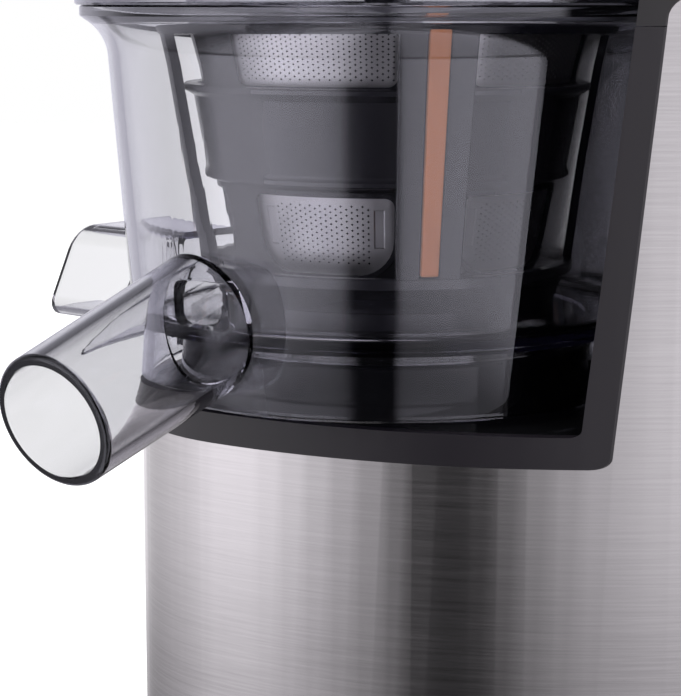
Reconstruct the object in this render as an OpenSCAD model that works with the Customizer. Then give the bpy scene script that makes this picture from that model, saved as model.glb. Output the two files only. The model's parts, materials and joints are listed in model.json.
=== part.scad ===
// Upright slow juicer: a motor base with a rear tower, a smoked juicing bowl that lifts
// off, a strainer with a turning wiper round it, a screw auger, a lid with a feed tube
// and a pusher. Z points up from the table, the drive axis is X = Y = 0, the bowl is at
// the front (-Y), the tower is behind it (+Y) and the juice spout leans to the right (+X).

/* [Housing] */
// Width of the housing
body_w = 138; // [134:1:146]
// Depth of the housing, front to back
body_d = 227; // [220:1:240]
// Radius of the rounded front and back of the housing
body_end_r = 50; // [46:1:54]
// How far the middle of the housing lies behind the drive axis
body_back = 48; // [46:0.5:52]
// Thickness of the steel wrap
steel_t = 1.2; // [0.8:0.1:1.6]
// Height of the bowl's lower edge above the table
bowl_z = 170; // [168:1:185]
// Height of the tower above the bowl's lower edge
tower_h = 123; // [118:1:130]
// Radius of the hollow behind the bowl, at the bowl's lower edge
recess_r = 84; // [82:0.5:86]
// Lean of the hollow's wall, radius gained for each unit of height
recess_lean = 0.063; // [0.05:0.001:0.075]
// Height of the black trim under the bowl
trim_h = 7.9; // [6:0.1:10]

/* [Bowl] */
// Outer radius of the bowl at its lower edge
bowl_r = 66; // [64:0.5:67]
// Flare of the bowl, radius gained for each unit of height
bowl_flare = 0.0785; // [0.06:0.001:0.085]
// Wall of the bowl
bowl_wall = 2.8; // [2.2:0.1:3.2]
// Height of the bowl's rim above its lower edge
bowl_h = 98; // [97:0.5:100]
// Top of the bowl's floor above its lower edge
floor_top = 19; // [18.5:0.1:19.5]

/* [Spouts] */
// Direction of the juice outlet on the bowl, degrees from +X towards +Y
spout_at = -42; // [-48:1:-36]
// Direction in which the juice spout points
spout_dir = -33; // [-36:1:-30]
// Slope of the juice spout below level
spout_drop = 16; // [12:1:18]
// Length of the juice spout in front of the bowl wall
spout_len = 54; // [45:1:60]
// Outer radius of the juice spout at its root
spout_root_r = 17.6; // [17:0.1:18.2]
// Outer radius of the juice spout at its mouth
spout_mouth_r = 16.4; // [16:0.1:17]
// Wall of the juice spout
spout_wall = 2.7; // [2.2:0.1:3]
// Direction of the pulp chute
chute_dir = 232; // [229:1:235]
// Reach of the pulp chute from the drive axis
chute_reach = 117; // [112:1:122]
// Width of the pulp chute
chute_w = 34; // [32:0.5:36]

/* [Strainer and wiper] */
// Outer radius of the strainer 34 above the bowl's lower edge
strainer_r = 41; // [40.6:0.1:41.2]
// Flare of the strainer
strainer_flare = 0.19; // [0.185:0.001:0.195]
// Wall of the strainer frame
strainer_t = 2.5; // [2:0.1:2.6]
// Number of perforated windows round each row
windows = 5; // [4:1:6]
// Number of silicone wiper blades
blades = 2; // [2:1:3]
// Direction of the first wiper blade
blade_at = 13; // [0:1:30]

/* [Lid and pusher] */
// Outer radius of the lid's rim
lid_r = 81; // [80:0.5:82]
// Inner radius of the feed tube
feed_r = 19.5; // [19:0.1:19.8]
// How far the feed tube lies in front of the drive axis
feed_front = 29; // [28.5:0.1:30]
// Height of the feed tube's mouth above the bowl's lower edge
feed_top = 218; // [200:1:230]

/* [Hidden] */
$fn = 96;

// Plan of the housing: two side arcs and two end arcs that meet tangentially
half_w = body_w / 2;
end_c = body_d / 2 - body_end_r;
side_r = (end_c * end_c + half_w * half_w - body_end_r * body_end_r)
  / (2 * (half_w - body_end_r));
side_c = side_r - half_w;
join_a = atan2(end_c, side_c);
body_rear = body_back + body_d / 2;
skin_t = 3;

// Levels above the bowl's lower edge
deck_top = -2.3;
deck_t = 3;
trim_low = deck_top - trim_h;
part_line = 93.3;
steel_top = 101;
boss_top = 12;
boss_r = 54.5;

// Levels above the table
foot_h = 4;
plinth_top = 14;
case_low = 116;
case_floor = 121;
cover_low = 152;
cover_top = 156;

// Gear train: pressure angle, play on each flank, modules and tooth counts
press_a = 25;
play = 0.08;
mod_a = 1;
pinion_n = 12;
counter_n = 54;
output_n = 60;
mod_b = 1.6;
auger_n = 12;
idler_n = 18;
ring_n = 48;
// Places of the gear axes
stage_1 = mod_a * (pinion_n + counter_n) / 2;
stage_2 = mod_a * (pinion_n + output_n) / 2;
motor_y = 66;
counter_y = (motor_y * motor_y + stage_2 * stage_2 - stage_1 * stage_1) / (2 * motor_y);
counter_x = sqrt(stage_2 * stage_2 - counter_y * counter_y);
idler_at = chute_dir - 180;
idler_dist = mod_b * (auger_n + idler_n) / 2;
ring_r = mod_b * ring_n / 2;

// Shafts
motor_shaft_r = 4;
counter_shaft_r = 4;
drive_r = 6;
hex_af = 10;
hex_play = 0.2;
run_play = 0.05;

// Colours
steel_c = [0.74, 0.73, 0.73];
black_c = [0.07, 0.07, 0.08];
satin_c = [0.15, 0.15, 0.16];
smoke_c = [0.35, 0.34, 0.38, 0.4];
grey_c = [0.34, 0.34, 0.37];
orange_c = [0.86, 0.5, 0.3];
metal_c = [0.62, 0.62, 0.64];
copper_c = [0.72, 0.4, 0.2];
rubber_c = [0.1, 0.1, 0.1];

// ---------- shared shapes ----------

function arc(cx, cy, r, a0, a1, n) =
  [for (i = [0:n]) let (a = a0 + (a1 - a0) * i / n) [cx + r * cos(a), cy + r * sin(a)]];

function oval_points(off) = concat(
  arc(-side_c, 0, side_r + off, -join_a, join_a, 24),
  arc(0, end_c, body_end_r + off, join_a, 180 - join_a, 18),
  arc(side_c, 0, side_r + off, 180 - join_a, 180 + join_a, 24),
  arc(0, -end_c, body_end_r + off, 180 + join_a, 360 - join_a, 18));

// Solid of the housing's plan, moved out by off, between two heights
module oval(off, z0, z1)
  translate([0, body_back, z0]) linear_extrude(z1 - z0) polygon(oval_points(off));

// Ring between two offsets of the housing's plan
module oval_ring(out, inn, z0, z1)
  difference() {
    oval(out, z0, z1);
    oval(inn, z0 - 1, z1 + 1);
  }

module at_bowl() translate([0, 0, bowl_z]) children();

module tube(r_out, r_in, z0, z1)
  translate([0, 0, z0]) difference() {
    cylinder(r = r_out, h = z1 - z0);
    translate([0, 0, -1]) cylinder(r = r_in, h = z1 - z0 + 2);
  }

module rod(r, z0, z1) translate([0, 0, z0]) cylinder(r = r, h = z1 - z0);

function rounded_rect(w, h, r) = concat(
  arc(w / 2 - r, h / 2 - r, r, 0, 90, 5), arc(-w / 2 + r, h / 2 - r, r, 90, 180, 5),
  arc(-w / 2 + r, -h / 2 + r, r, 180, 270, 5), arc(w / 2 - r, -h / 2 + r, r, 270, 360, 5));

// Recess behind the bowl: a turned hollow about the drive axis, grown by off
function recess_at(z) = recess_r + recess_lean * z;
module recess(off, low, corner, high)
  at_bowl() rotate_extrude() polygon(concat(
    [[0, low]],
    arc(recess_at(low + corner) + off - corner, low + corner, corner, -90, 0, 5),
    [[recess_at(high) + off, high], [0, high]]));

// Cut-out in the steel wrap, with its rounded upper corner
steel_corner = 6;
module steel_cut()
  at_bowl() rotate_extrude() polygon(concat(
    [[0, trim_low]],
    arc(recess_at(trim_low) + 4.2 - 2.5, trim_low + 3, 2.8, -90, 0, 5),
    arc(recess_at(part_line) + 4.2 + steel_corner, steel_top - steel_corner,
      steel_corner, 180, 90, 6),
    [[body_d, steel_top], [body_d, tower_h + 20], [0, tower_h + 20]]));

// ---------- gears ----------

function inv_deg(a) = tan(a) * 180 / PI - a;
function pitch_r(n, m) = n * m / 2;
function base_r(n, m) = pitch_r(n, m) * cos(press_a);
function half_tooth(n, m, r, slack) = 90 / n - slack * 180 / PI / pitch_r(n, m)
  + inv_deg(press_a) - inv_deg(acos(min(1, base_r(n, m) / r)));

// Outline of a spur gear; add and ded are its tooth height above and below the pitch
// circle in modules, and slack thins each flank
function gear_points(n, m, slack, add = 1, ded = 1.25) =
  let (r_root = pitch_r(n, m) - ded * m, r_tip = pitch_r(n, m) + add * m,
    r_low = max(base_r(n, m), r_root) + 0.01,
    rs = [r_low, (r_low + r_tip) / 2, r_tip])
  [for (i = [0:n - 1], p = [
      [r_root, -half_tooth(n, m, r_low, slack)],
      for (r = rs) [r, -half_tooth(n, m, r, slack)],
      for (r = [rs[2], rs[1], rs[0]]) [r, half_tooth(n, m, r, slack)],
      [r_root, half_tooth(n, m, r_low, slack)]])
    let (a = i * 360 / n + p[1]) [p[0] * cos(a), p[0] * sin(a)]];

module spur(n, m, phase, z0, z1, slack = play)
  translate([0, 0, z0]) rotate([0, 0, phase]) linear_extrude(z1 - z0)
    polygon(gear_points(n, m, slack));

// Phase of gear b so that it meshes with gear a, where dir points from a to b
function mesh_phase(dir, n_a, phase_a, n_b) =
  dir + 180 - (0.5 - (dir - phase_a) * n_a / 360) * 360 / n_b;
// Phase of an inner ring gear's hollow that meshes with gear a
function ring_phase(dir, n_a, phase_a, n_e) = dir - (dir - phase_a) * n_a / n_e;

counter_dir = atan2(counter_y, counter_x);
motor_dir = atan2(motor_y - counter_y, -counter_x);
counter_phase = mesh_phase(counter_dir, output_n, 0, pinion_n);
motor_phase = mesh_phase(motor_dir, counter_n, counter_phase, pinion_n);
idler_phase = mesh_phase(idler_at, auger_n, 0, idler_n);
ring_turn = ring_phase(idler_at, idler_n, idler_phase, ring_n);

// ---------- housing ----------

bezel_r = 24;
knob_z = bowl_z + 72;
cord_hole_r = 9;
cord_z = 34;

// Round rod along Y at the back, between two depths from the rearmost line
module rear_rod(r, z, y0, y1)
  translate([0, body_rear + y0, z]) rotate([-90, 0, 0]) cylinder(r = r, h = y1 - y0);

module steel_shell() color(steel_c)
  difference() {
    oval_ring(0, -steel_t, plinth_top, bowl_z + tower_h);
    steel_cut();
    rear_rod(bezel_r, knob_z, -20, 20);
    rear_rod(cord_hole_r, cord_z, -20, 20);
  }

module trim_frame() color(satin_c)
  difference() {
    intersection() {
      oval_ring(0.5, -skin_t, bowl_z + trim_low, bowl_z + part_line);
      steel_cut();
    }
    recess(0, deck_top, 2, part_line + 1);
  }

base_posts = [[-52, 10], [52, 10], [-34, 119], [34, 119]];
gear_ears = [[-40, 0], [40, 0], [41.5, 54], [-19.5, 62]];
duct_w = 28;
slot_play = 2;

// Box along the pulp chute's direction, between two reaches and two heights
module chute_box(r0, r1, w, z0, z1)
  at_bowl() rotate([0, 0, chute_dir])
    translate([r0, -w / 2, z0]) cube([r1 - r0, w, z1 - z0]);

module inner_housing() color(black_c)
  difference() {
    union() {
      // the deck under the bowl reaches back under the tower
      oval(-skin_t, bowl_z + deck_top - deck_t, bowl_z + deck_top);
      // concave wall behind the bowl
      intersection() {
        oval(-skin_t, bowl_z + deck_top - deck_t, bowl_z + part_line);
        difference() {
          recess(2.5, deck_top - deck_t, 3, part_line);
          recess(0, deck_top, 2, part_line + 1);
        }
      }
      // seat that the bowl stands on
      difference() {
        at_bowl() rotate_extrude() polygon([[0, deck_top - deck_t],
          [boss_r, deck_top - deck_t], [boss_r, boss_top - 2],
          [boss_r - 2, boss_top], [0, boss_top]]);
        difference() {
          at_bowl() rod(boss_r - 2.5, deck_top - deck_t - 1, boss_top - 2.5);
          chute_box(10, 72, duct_w + 2 * slot_play + 5, -10, boss_top);
          at_bowl() rod(13, -10, boss_top);
          for (p = [gear_ears[0], gear_ears[1]])
            translate([p[0], p[1], 0]) rod(5, cover_top, bowl_z + boss_top);
        }
      }
      // standoffs for the control board on the back of the wall
      for (x = [-board_x, board_x], z = board_z) {
        y0 = sqrt(pow(recess_at(z) + 1.2, 2) - board_x * board_x);
        translate([x, y0, bowl_z + z]) rotate([-90, 0, 0]) cylinder(r = 3, h = board_y - y0);
      }
      for (p = base_posts)
        translate([p[0], p[1], 0]) rod(5, 24, bowl_z + deck_top - 1);
      for (p = [gear_ears[2], gear_ears[3]])
        translate([p[0], p[1], 0]) rod(5, cover_top, bowl_z + deck_top - 1);
      for (p = [gear_ears[0], gear_ears[1]])
        translate([p[0], p[1], 0]) rod(5, cover_top, bowl_z + boss_top - 2);
    }
    chute_box(14, 80, duct_w + 2 * slot_play, 0, boss_top + 1);
    rod(drive_r + 3.5, bowl_z - 20, bowl_z + boss_top + 1);
    rod(10, bowl_z - 20, bowl_z + 6);
    // cable way up into the tower
    translate([-18, 100, bowl_z - 10]) cube([36, 14, 12]);
    for (p = base_posts) translate([p[0], p[1], 0]) rod(1.8, 20, 44);
    for (p = gear_ears) translate([p[0], p[1], 0]) rod(2, cover_top - 2, cover_top + 10);
  }

module tower_cap() color(black_c)
  difference() {
    intersection() {
      hull() {
        oval(0.4, bowl_z + part_line, bowl_z + tower_h - 9);
        oval(-0.8, bowl_z + part_line, bowl_z + tower_h - 5);
        oval(-3.6, bowl_z + part_line, bowl_z + tower_h - 1.8);
        oval(-9, bowl_z + part_line, bowl_z + tower_h);
      }
      steel_cut();
    }
    recess(0, deck_top, 2, tower_h + 5);
    difference() {
      oval(-skin_t, bowl_z + part_line - 1, bowl_z + tower_h - 4);
      recess(3, deck_top, 2, tower_h + 5);
    }
  }

module base_plate() color(black_c)
  difference() {
    union() {
      oval(0.3, foot_h, foot_h + 3);
      oval_ring(0.3, -steel_t, foot_h, plinth_top);
      oval_ring(-steel_t, -skin_t - 0.6, foot_h, plinth_top + 8);
      for (p = base_posts) translate([p[0], p[1], 0]) rod(6.5, foot_h, 24);
      // legs under the motor's studs
      at_studs() rod(6, foot_h, stud_low);
    }
    for (p = base_posts) translate([p[0], p[1], 0]) {
      rod(4, foot_h - 1, foot_h + 5);
      rod(2, foot_h, 25);
    }
    // cooling slots under the fan
    for (i = [-4:4]) translate([i * 7 - 1.5, motor_y - 13, foot_h - 1]) cube([3, 26, 8]);
  }

module foot_ring() color(rubber_c) oval_ring(-3, -9, 0, foot_h);

module base_screws() color(metal_c)
  for (p = base_posts) translate([p[0], p[1], 0]) {
    rod(3.5, foot_h + 2, foot_h + 5);
    rod(1.8, foot_h + 5, 40);
  }

// ---------- motor ----------

core_r = 42;
stud_low = 38;
core_low = 58;
core_high = 98;
rotor_r = 22.5;
slot_n = 12;
slot_pitch_r = 32;
stud_at = [45, 135, 225, 315];
stud_r_at = 46;

module at_motor() translate([0, motor_y, 0]) children();

module at_studs() at_motor()
  for (a = stud_at) rotate([0, 0, a]) translate([stud_r_at, 0, 0]) children();

module motor_core() color(metal_c)
  difference() {
    union() {
      at_motor() rod(core_r, core_low, core_high);
      at_studs() rod(5.5, core_low, core_high);
    }
    at_studs() rod(2, core_low - 1, core_high + 1);
    at_motor() rod(rotor_r + 0.6, core_low - 1, core_high + 1);
    at_motor() for (i = [0:slot_n - 1]) rotate([0, 0, i * 360 / slot_n]) {
      translate([slot_pitch_r, 0, 0]) rod(3.3, core_low - 1, core_high + 1);
      translate([slot_pitch_r - 10, -1, core_low - 1]) cube([10, 2, core_high - core_low + 2]);
    }
  }

module motor_windings() color(copper_c) at_motor() {
  for (z = [core_low - 9, core_high]) tube(37, 26.5, z, z + 9);
  for (i = [0:slot_n - 1]) rotate([0, 0, i * 360 / slot_n]) translate([slot_pitch_r, 0, 0])
    rod(3.3, core_low, core_high);
}

module bracket(z, hub_z0, hub_z1)
  difference() {
    union() {
      difference() {
        rod(core_r + 1, z, z + 4);
        for (i = [0:3]) rotate([0, 0, i * 90]) translate([25, 0, 0]) rod(9, z - 1, z + 5);
      }
      rod(11, hub_z0, hub_z1);
      for (a = stud_at) rotate([0, 0, a]) hull() {
        translate([core_r - 4, 0, 0]) rod(6, z, z + 4);
        translate([stud_r_at, 0, 0]) rod(5, z, z + 4);
      }
    }
    rod(7, hub_z0 - 1, hub_z1 + 1);
    for (a = stud_at) rotate([0, 0, a]) translate([stud_r_at, 0, 0]) rod(2, z - 1, z + 5);
  }

module motor_bracket_lower() color(metal_c) at_motor() bracket(42, 38, 46);
module motor_bracket_upper() color(metal_c) at_motor() bracket(110, 108, case_low);

module motor_bearings() color(metal_c) at_motor() {
  tube(7, motor_shaft_r + run_play, 38.5, 45.5);
  tube(7, motor_shaft_r + run_play, 108.5, 114.5);
}

module motor_studs() color(metal_c) at_studs() {
  rod(2, stud_low, case_low);
  rod(3.6, stud_low, stud_low + 4);
  rod(3.6, case_low - 2, case_low);
  rod(3.6, stud_low + 8, core_low);
  rod(3.6, core_high, case_low - 6);
}

module rotor() color(metal_c) at_motor()
  union() {
    rod(motor_shaft_r, 24, 122.5);
    rod(rotor_r, core_low - 2, core_high + 2);
    rod(rotor_r - 5, core_low - 6, core_high + 6);
  }

module motor_pinion() color(metal_c) at_motor()
  spur(pinion_n, mod_a, motor_phase, 122.5, 134);

module cooling_fan() color(satin_c) at_motor()
  difference() {
    union() {
      rod(9, 25, 36);
      rod(34, 33, 34.5);
      for (i = [0:8]) rotate([0, 0, i * 40]) translate([8, -0.8, 26]) cube([25, 1.6, 8]);
    }
    rod(motor_shaft_r, 24, 37);
  }

module run_capacitor() color([0.8, 0.8, 0.78])
  translate([0, -12, 0]) {
    rod(16, foot_h + 3, 63);
    rod(10, 63, 65);
    for (x = [-4, 4]) translate([x - 0.4, -3, 65]) cube([0.8, 6, 8]);
  }

// ---------- gearbox ----------

module gear_plan(off, z0, z1) {
  rod(output_n * mod_a / 2 + 3 + off, z0, z1);
  translate([counter_x, counter_y, 0]) rod(counter_n * mod_a / 2 + 3 + off, z0, z1);
  translate([0, motor_y, 0]) rod(12 + off, z0, z1);
}

module gearbox_case() color(satin_c)
  difference() {
    union() {
      gear_plan(2.5, case_low, cover_low);
      for (p = gear_ears) translate([p[0], p[1], 0]) rod(6, cover_low - 10, cover_low);
    }
    gear_plan(0, case_floor, cover_low + 1);
    rod(9, case_low + 1, case_floor + 1);
    translate([counter_x, counter_y, 0]) rod(7, case_low + 1, case_floor + 1);
    translate([0, motor_y, 0]) rod(7, case_low - 1, case_floor + 1);
    for (p = gear_ears) translate([p[0], p[1], 0]) rod(2.2, cover_low - 11, cover_low + 1);
  }

module gearbox_cover() color(satin_c)
  difference() {
    union() {
      gear_plan(2.5, cover_low, cover_top);
      for (p = gear_ears) translate([p[0], p[1], 0]) rod(6, cover_low, cover_top);
      rod(12, cover_low, cover_top + 4);
    }
    rod(9, cover_low - 1, cover_top + 5);
    translate([counter_x, counter_y, 0]) rod(7, cover_low - 1, cover_top - 1);
    for (p = gear_ears) translate([p[0], p[1], 0]) rod(2.2, cover_low - 1, cover_top + 1);
  }

module gearbox_screws() color(metal_c)
  for (p = gear_ears) translate([p[0], p[1], 0]) {
    rod(2, cover_low - 10, cover_top + 9);
    rod(3.8, cover_low - 13, cover_low - 10);
  }

module gear_bushes() color([0.72, 0.55, 0.28]) {
  tube(9, drive_r + run_play, case_low + 1, case_floor);
  tube(9, drive_r + run_play, cover_low, cover_top + 4);
  translate([counter_x, counter_y, 0]) {
    tube(7, counter_shaft_r + run_play, case_low + 1, case_floor);
    tube(7, counter_shaft_r + run_play, cover_low, cover_top - 1);
  }
}

module countershaft() color(metal_c) translate([counter_x, counter_y, 0]) {
  rod(counter_shaft_r, case_low + 1.3, 132);
  rod(counter_shaft_r, 149, cover_top - 1.3);
  spur(pinion_n, mod_a, counter_phase, 131.5, 149.5);
}

module countershaft_gear() color([0.85, 0.83, 0.76]) translate([counter_x, counter_y, 0])
  difference() {
    spur(counter_n, mod_a, counter_phase, 123.5, 131.5);
    rod(counter_shaft_r, 123, 132);
    for (i = [0:5]) rotate([0, 0, i * 60]) translate([15, 0, 0]) rod(5, 123, 132);
  }

module drive_shaft() color(metal_c)
  union() {
    rod(drive_r, case_low + 1.3, bowl_z + 8);
    rod(drive_r, bowl_z + 7, bowl_z + 10);
    translate([0, 0, bowl_z + 10])
      cylinder(r = hex_af / sqrt(3), h = 46, $fn = 6);
    translate([0, 0, bowl_z + 56])
      cylinder(r1 = hex_af / 2, r2 = hex_af / 2 - 2, h = 3);
  }

module output_gear() color(metal_c)
  difference() {
    union() {
      spur(output_n, mod_a, 0, 137, 147);
      rod(12, 134, 150);
    }
    rod(drive_r, 133, 151);
    for (i = [0:5]) rotate([0, 0, i * 60 + 30]) translate([20, 0, 0]) rod(5.5, 136, 148);
  }

module shaft_seal() color(rubber_c) at_bowl() tube(10, drive_r + run_play, -9, 6);

// ---------- tower ----------

board_y = 98;
board_x = 24;
board_z = [22, 58];

module control_board() color([0.12, 0.35, 0.2]) {
  translate([-30, board_y, bowl_z + 18]) cube([60, 1.6, 44]);
  for (x = [-18, 0, 18]) translate([x, board_y + 1.6, bowl_z + 40]) rotate([-90, 0, 0])
    cylinder(r = 5, h = 9);
}

module selector_switch() color(black_c) {
  difference() {
    rear_rod(bezel_r, knob_z, -14, 1.5);
    rear_rod(bezel_r - 2.5, knob_z, -9, 2);
  }
  translate([-13, body_rear - 34, knob_z - 13]) cube([26, 20.5, 26]);
  rear_rod(8, knob_z, -14, -6);
}

module selector_knob() color(satin_c)
  translate([0, body_rear - 8, knob_z]) rotate([-90, 0, 0])
    difference() {
      union() {
        cylinder(r = 20, h = 12);
        translate([0, 0, 12]) cylinder(r1 = 20, r2 = 18.5, h = 1.5);
        translate([-4, -18, 12]) cube([8, 36, 10]);
      }
      translate([0, 0, -1]) cylinder(r = 8 + run_play, h = 4);
      translate([-0.8, -17.5, 21]) cube([1.6, 12, 2]);
    }

module lid_sensor() color([0.75, 0.72, 0.7])
  translate([-7, recess_at(104) + 2.4, bowl_z + 99]) cube([14, 5, 7]);

module cord_inlet() color(rubber_c)
  translate([0, body_rear - 8, cord_z]) rotate([-90, 0, 0])
    difference() {
      union() {
        cylinder(r = cord_hole_r, h = 9);
        translate([0, 0, 8.5]) cylinder(r1 = 11, r2 = 8, h = 6);
      }
      translate([0, 0, -1]) cylinder(r = 3.75, h = 20);
    }

// ---------- bowl ----------

function bowl_at(z) = bowl_r + bowl_flare * z;
flare_z = 84;
flare_r = 12;
flare_c = bowl_at(flare_z) + flare_r;
rim_r = 79.8;
floor_low = floor_top - 3;
hub_hole = 11;

module bowl_turned()
  rotate_extrude() polygon(concat(
    [[hub_hole, floor_low - 3], [hub_hole + 3, floor_low - 3], [hub_hole + 3, floor_low],
      [50, floor_low], [50, boss_top], [53, boss_top], [53, floor_low],
      [bowl_at(floor_low) - bowl_wall, floor_low], [bowl_r - bowl_wall, 0], [bowl_r, 0]],
    arc(flare_c, flare_z, flare_r, 180, 120, 6),
    [[rim_r, bowl_h - 2.7], [rim_r, bowl_h], [rim_r - bowl_wall, bowl_h]],
    arc(flare_c, flare_z, flare_r + bowl_wall, 126, 180, 6),
    arc(bowl_at(floor_top) - bowl_wall - 3, floor_top + 3, 3, 0, -90, 4),
    [[hub_hole, floor_top]]));

spout_z = 20.5;
// Frame of the juice spout: its axis is +Z, starting at the bowl's wall
module at_spout()
  at_bowl() rotate([0, 0, spout_at]) translate([bowl_at(spout_z), 0, spout_z])
    rotate([0, 0, spout_dir - spout_at]) rotate([0, 90 + spout_drop, 0]) children();

// Everything outside the bowl's outer face, between two heights
module outside_bowl(z0, z1)
  difference() {
    rod(150, z0, z1);
    translate([0, 0, z0 - 1]) cylinder(r1 = bowl_at(z0 - 1), r2 = bowl_at(z1 + 1), h = z1 - z0 + 2);
  }

chute_low = 6;
chute_high = 34;
chute_slant = 27;
duct_low = 1.5;
clean_from = 28;
clean_to = 46;
clean_w = 18;

module chute_solid(inset, r0, r1, z0, z1)
  at_bowl() rotate([0, 0, chute_dir]) translate([0, 0, (z0 + z1) / 2]) rotate([90, 0, 90])
    translate([0, 0, r0]) linear_extrude(r1 - r0)
      polygon(rounded_rect(chute_w - 2 * inset, z1 - z0 - 2 * inset, 7 - inset));

// The bowl is welded from three clear mouldings: the bowl itself, its juice spout and its pulp chute
module juicing_bowl() color(smoke_c)
  difference() {
    at_bowl() bowl_turned();
    // outlet window above the floor
    at_bowl() rotate([0, 0, spout_at]) translate([50, 0, floor_top + 6.5])
      rotate([90, 0, 90]) linear_extrude(30) polygon(rounded_rect(20, 11.5, 3));
    // notch for the duct, and the port above it
    chute_box(15, 72, duct_w, -1, floor_low);
    chute_box(15.5, 34, 18, floor_low - 1, floor_top + 1);
  }

// Tapered tube, its root coped to the outside of the bowl
module juice_spout() color(smoke_c)
  intersection() {
    at_spout() difference() {
      translate([0, 0, -22])
        cylinder(r1 = spout_root_r + 0.5, r2 = spout_mouth_r, h = spout_len + 22);
      translate([0, 0, -22.5])
        cylinder(r1 = spout_root_r + 0.5 - spout_wall, r2 = spout_mouth_r - spout_wall,
          h = spout_len + 23);
    }
    at_bowl() outside_bowl(-8, 60);
  }

// Chute outside the bowl with the duct under the floor that feeds it
module pulp_chute() color(smoke_c)
  difference() {
    union() {
      intersection() {
        chute_solid(0, 50, chute_reach, chute_low, chute_high);
        at_bowl() outside_bowl(0, 40);
      }
      chute_box(15, 70, duct_w, duct_low, floor_low);
    }
    intersection() {
      chute_solid(2, 50, chute_reach + 1, chute_low, chute_high);
      at_bowl() outside_bowl(0, 40);
    }
    chute_box(17, 68, duct_w - 4, duct_low + 2.5, floor_low + 1);
    // clean-out hole in the duct's floor
    chute_box(clean_from, clean_to, clean_w, duct_low - 1, duct_low + 3);
    // slanted end of the chute
    at_bowl() rotate([0, 0, chute_dir]) translate([chute_reach, 0, chute_low])
      rotate([0, -chute_slant, 0]) translate([0, -30, -20]) cube([30, 60, 80]);
  }

module bowl_seal() color([0.75, 0.75, 0.73])
  at_bowl() tube(hub_hole, 7.5 + run_play, floor_low - 2.5, floor_top - 0.5);

// Plug that closes the clean-out hole under the duct
module pulp_seal() color(orange_c)
  union() {
    chute_box(clean_from - 2.5, clean_to + 2.5, clean_w + 5, 0.3, duct_low);
    chute_box(clean_from, clean_to, clean_w, duct_low, duct_low + 2.5);
  }

module idler_pin() color(metal_c)
  at_bowl() rotate([0, 0, idler_at]) translate([idler_dist, 0, 0]) {
    rod(3, floor_top, floor_top + 7.4);
    rod(5, floor_top, gear_low);
  }

gear_low = floor_top + 0.7;
gear_high = floor_top + 8;

module idler_gear() color([0.85, 0.83, 0.76])
  at_bowl() rotate([0, 0, idler_at]) translate([idler_dist, 0, 0]) rotate([0, 0, -idler_at])
    difference() {
      spur(idler_n, mod_b, idler_phase, gear_low, gear_high);
      rod(3 + run_play, 0, 40);
    }

// ---------- strainer ----------

function strain_at(z) = strainer_r + strainer_flare * (z - 34);
plate_z = 28.6;
strain_top = 97.2;
upper_lip = 77.5;
lower_lip = 55;
lip_band = 1.9;
window_low = [78.6, 32.2];
window_top = [94, 51.6];
window_a = 51.5;
window_pitch = 360 / windows;
window_from = -21.4;

// Half the window's width at a height, so that its sides stand in planes through the axis
function window_half(z) = (strain_at(z) - 1) * sin(window_a / 2);

// Outline of one row's window: sides that follow the cone, wider corners at the foot of the lower row
function window_plan(row) = let (z0 = window_low[row], z1 = window_top[row], mid = (z0 + z1) / 2,
    w = window_half(mid), h = (z1 - z0) / 2, r1 = 2.2, r0 = row == 0 ? 2.2 : 8.5,
    lean = (window_half(z1) - window_half(z0)) / (2 * h * w))
  [for (p = concat(arc(w - r1, h - r1, r1, 0, 90, 5), arc(r1 - w, h - r1, r1, 90, 180, 5),
    arc(r0 - w, r0 - h, r0, 180, 270, 6), arc(w - r0, r0 - h, r0, 270, 360, 6)))
    [p[0] * (1 + lean * p[1]), p[1] + mid]];

// Punch through the strainer's wall at one window of one row
module window_punch(row, i)
  at_bowl() rotate([0, 0, window_from + i * window_pitch])
    translate([28, 0, 0]) rotate([90, 0, 90]) linear_extrude(40) polygon(window_plan(row));

module strainer_frame() color(grey_c)
  difference() {
    union() {
      at_bowl() rotate_extrude() polygon([
        [12.5, plate_z], [strain_at(plate_z) - 1.5, plate_z],
        [strain_at(32), 32], [strain_at(lower_lip - 2), lower_lip - 2],
        [strain_at(lower_lip) + 3, lower_lip - 0.8], [strain_at(lower_lip) + 3, lower_lip + 0.8],
        [strain_at(lower_lip + 3) + lip_band, lower_lip + 2],
        [strain_at(upper_lip - 3) + lip_band, upper_lip - 2.5],
        [strain_at(upper_lip) + 4, upper_lip - 1], [strain_at(upper_lip) + 4, upper_lip + 0.6],
        [strain_at(upper_lip + 1), upper_lip + 0.8],
        [strain_at(94), 94], [strain_at(94) + 1.2, 94.6], [strain_at(94) + 1.2, strain_top],
        [strain_at(strain_top) - strainer_t, strain_top],
        [strain_at(33) - strainer_t, 33], [strain_at(31) - strainer_t - 1, 31.2], [12.5, 31.2]]);
      // neck that carries the pulp through the gear layer
      chute_box(16, 33.5, 17.6, floor_low + 0.5, plate_z + 0.5);
      chute_box(15, 34.5, 19.6, floor_top, plate_z + 0.5);
      // inner ribs that feed the pulp down
      at_bowl() for (i = [0:windows - 1]) rotate([0, 0, window_from + (i + 0.5) * window_pitch])
        rotate([90, 0, 0]) linear_extrude(1.6, center = true)
          polygon([[strain_at(36) - strainer_t - 0.8, 36], [strain_at(36) - 1, 36],
            [strain_at(94) - 1, 94], [strain_at(94) - strainer_t - 0.8, 94]]);
    }
    for (row = [0, 1], i = [0:windows - 1]) window_punch(row, i);
    chute_box(17.5, 32, 14.6, floor_low - 1, 32);
  }

module strainer_mesh() color(metal_c)
  for (row = [0, 1], i = [0:windows - 1]) intersection() {
    window_punch(row, i);
    at_bowl() rotate_extrude() polygon([
      [strain_at(30) - 1.5, 30], [strain_at(30) - 1, 30],
      [strain_at(96) - 1, 96], [strain_at(96) - 1.5, 96]]);
  }

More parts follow.
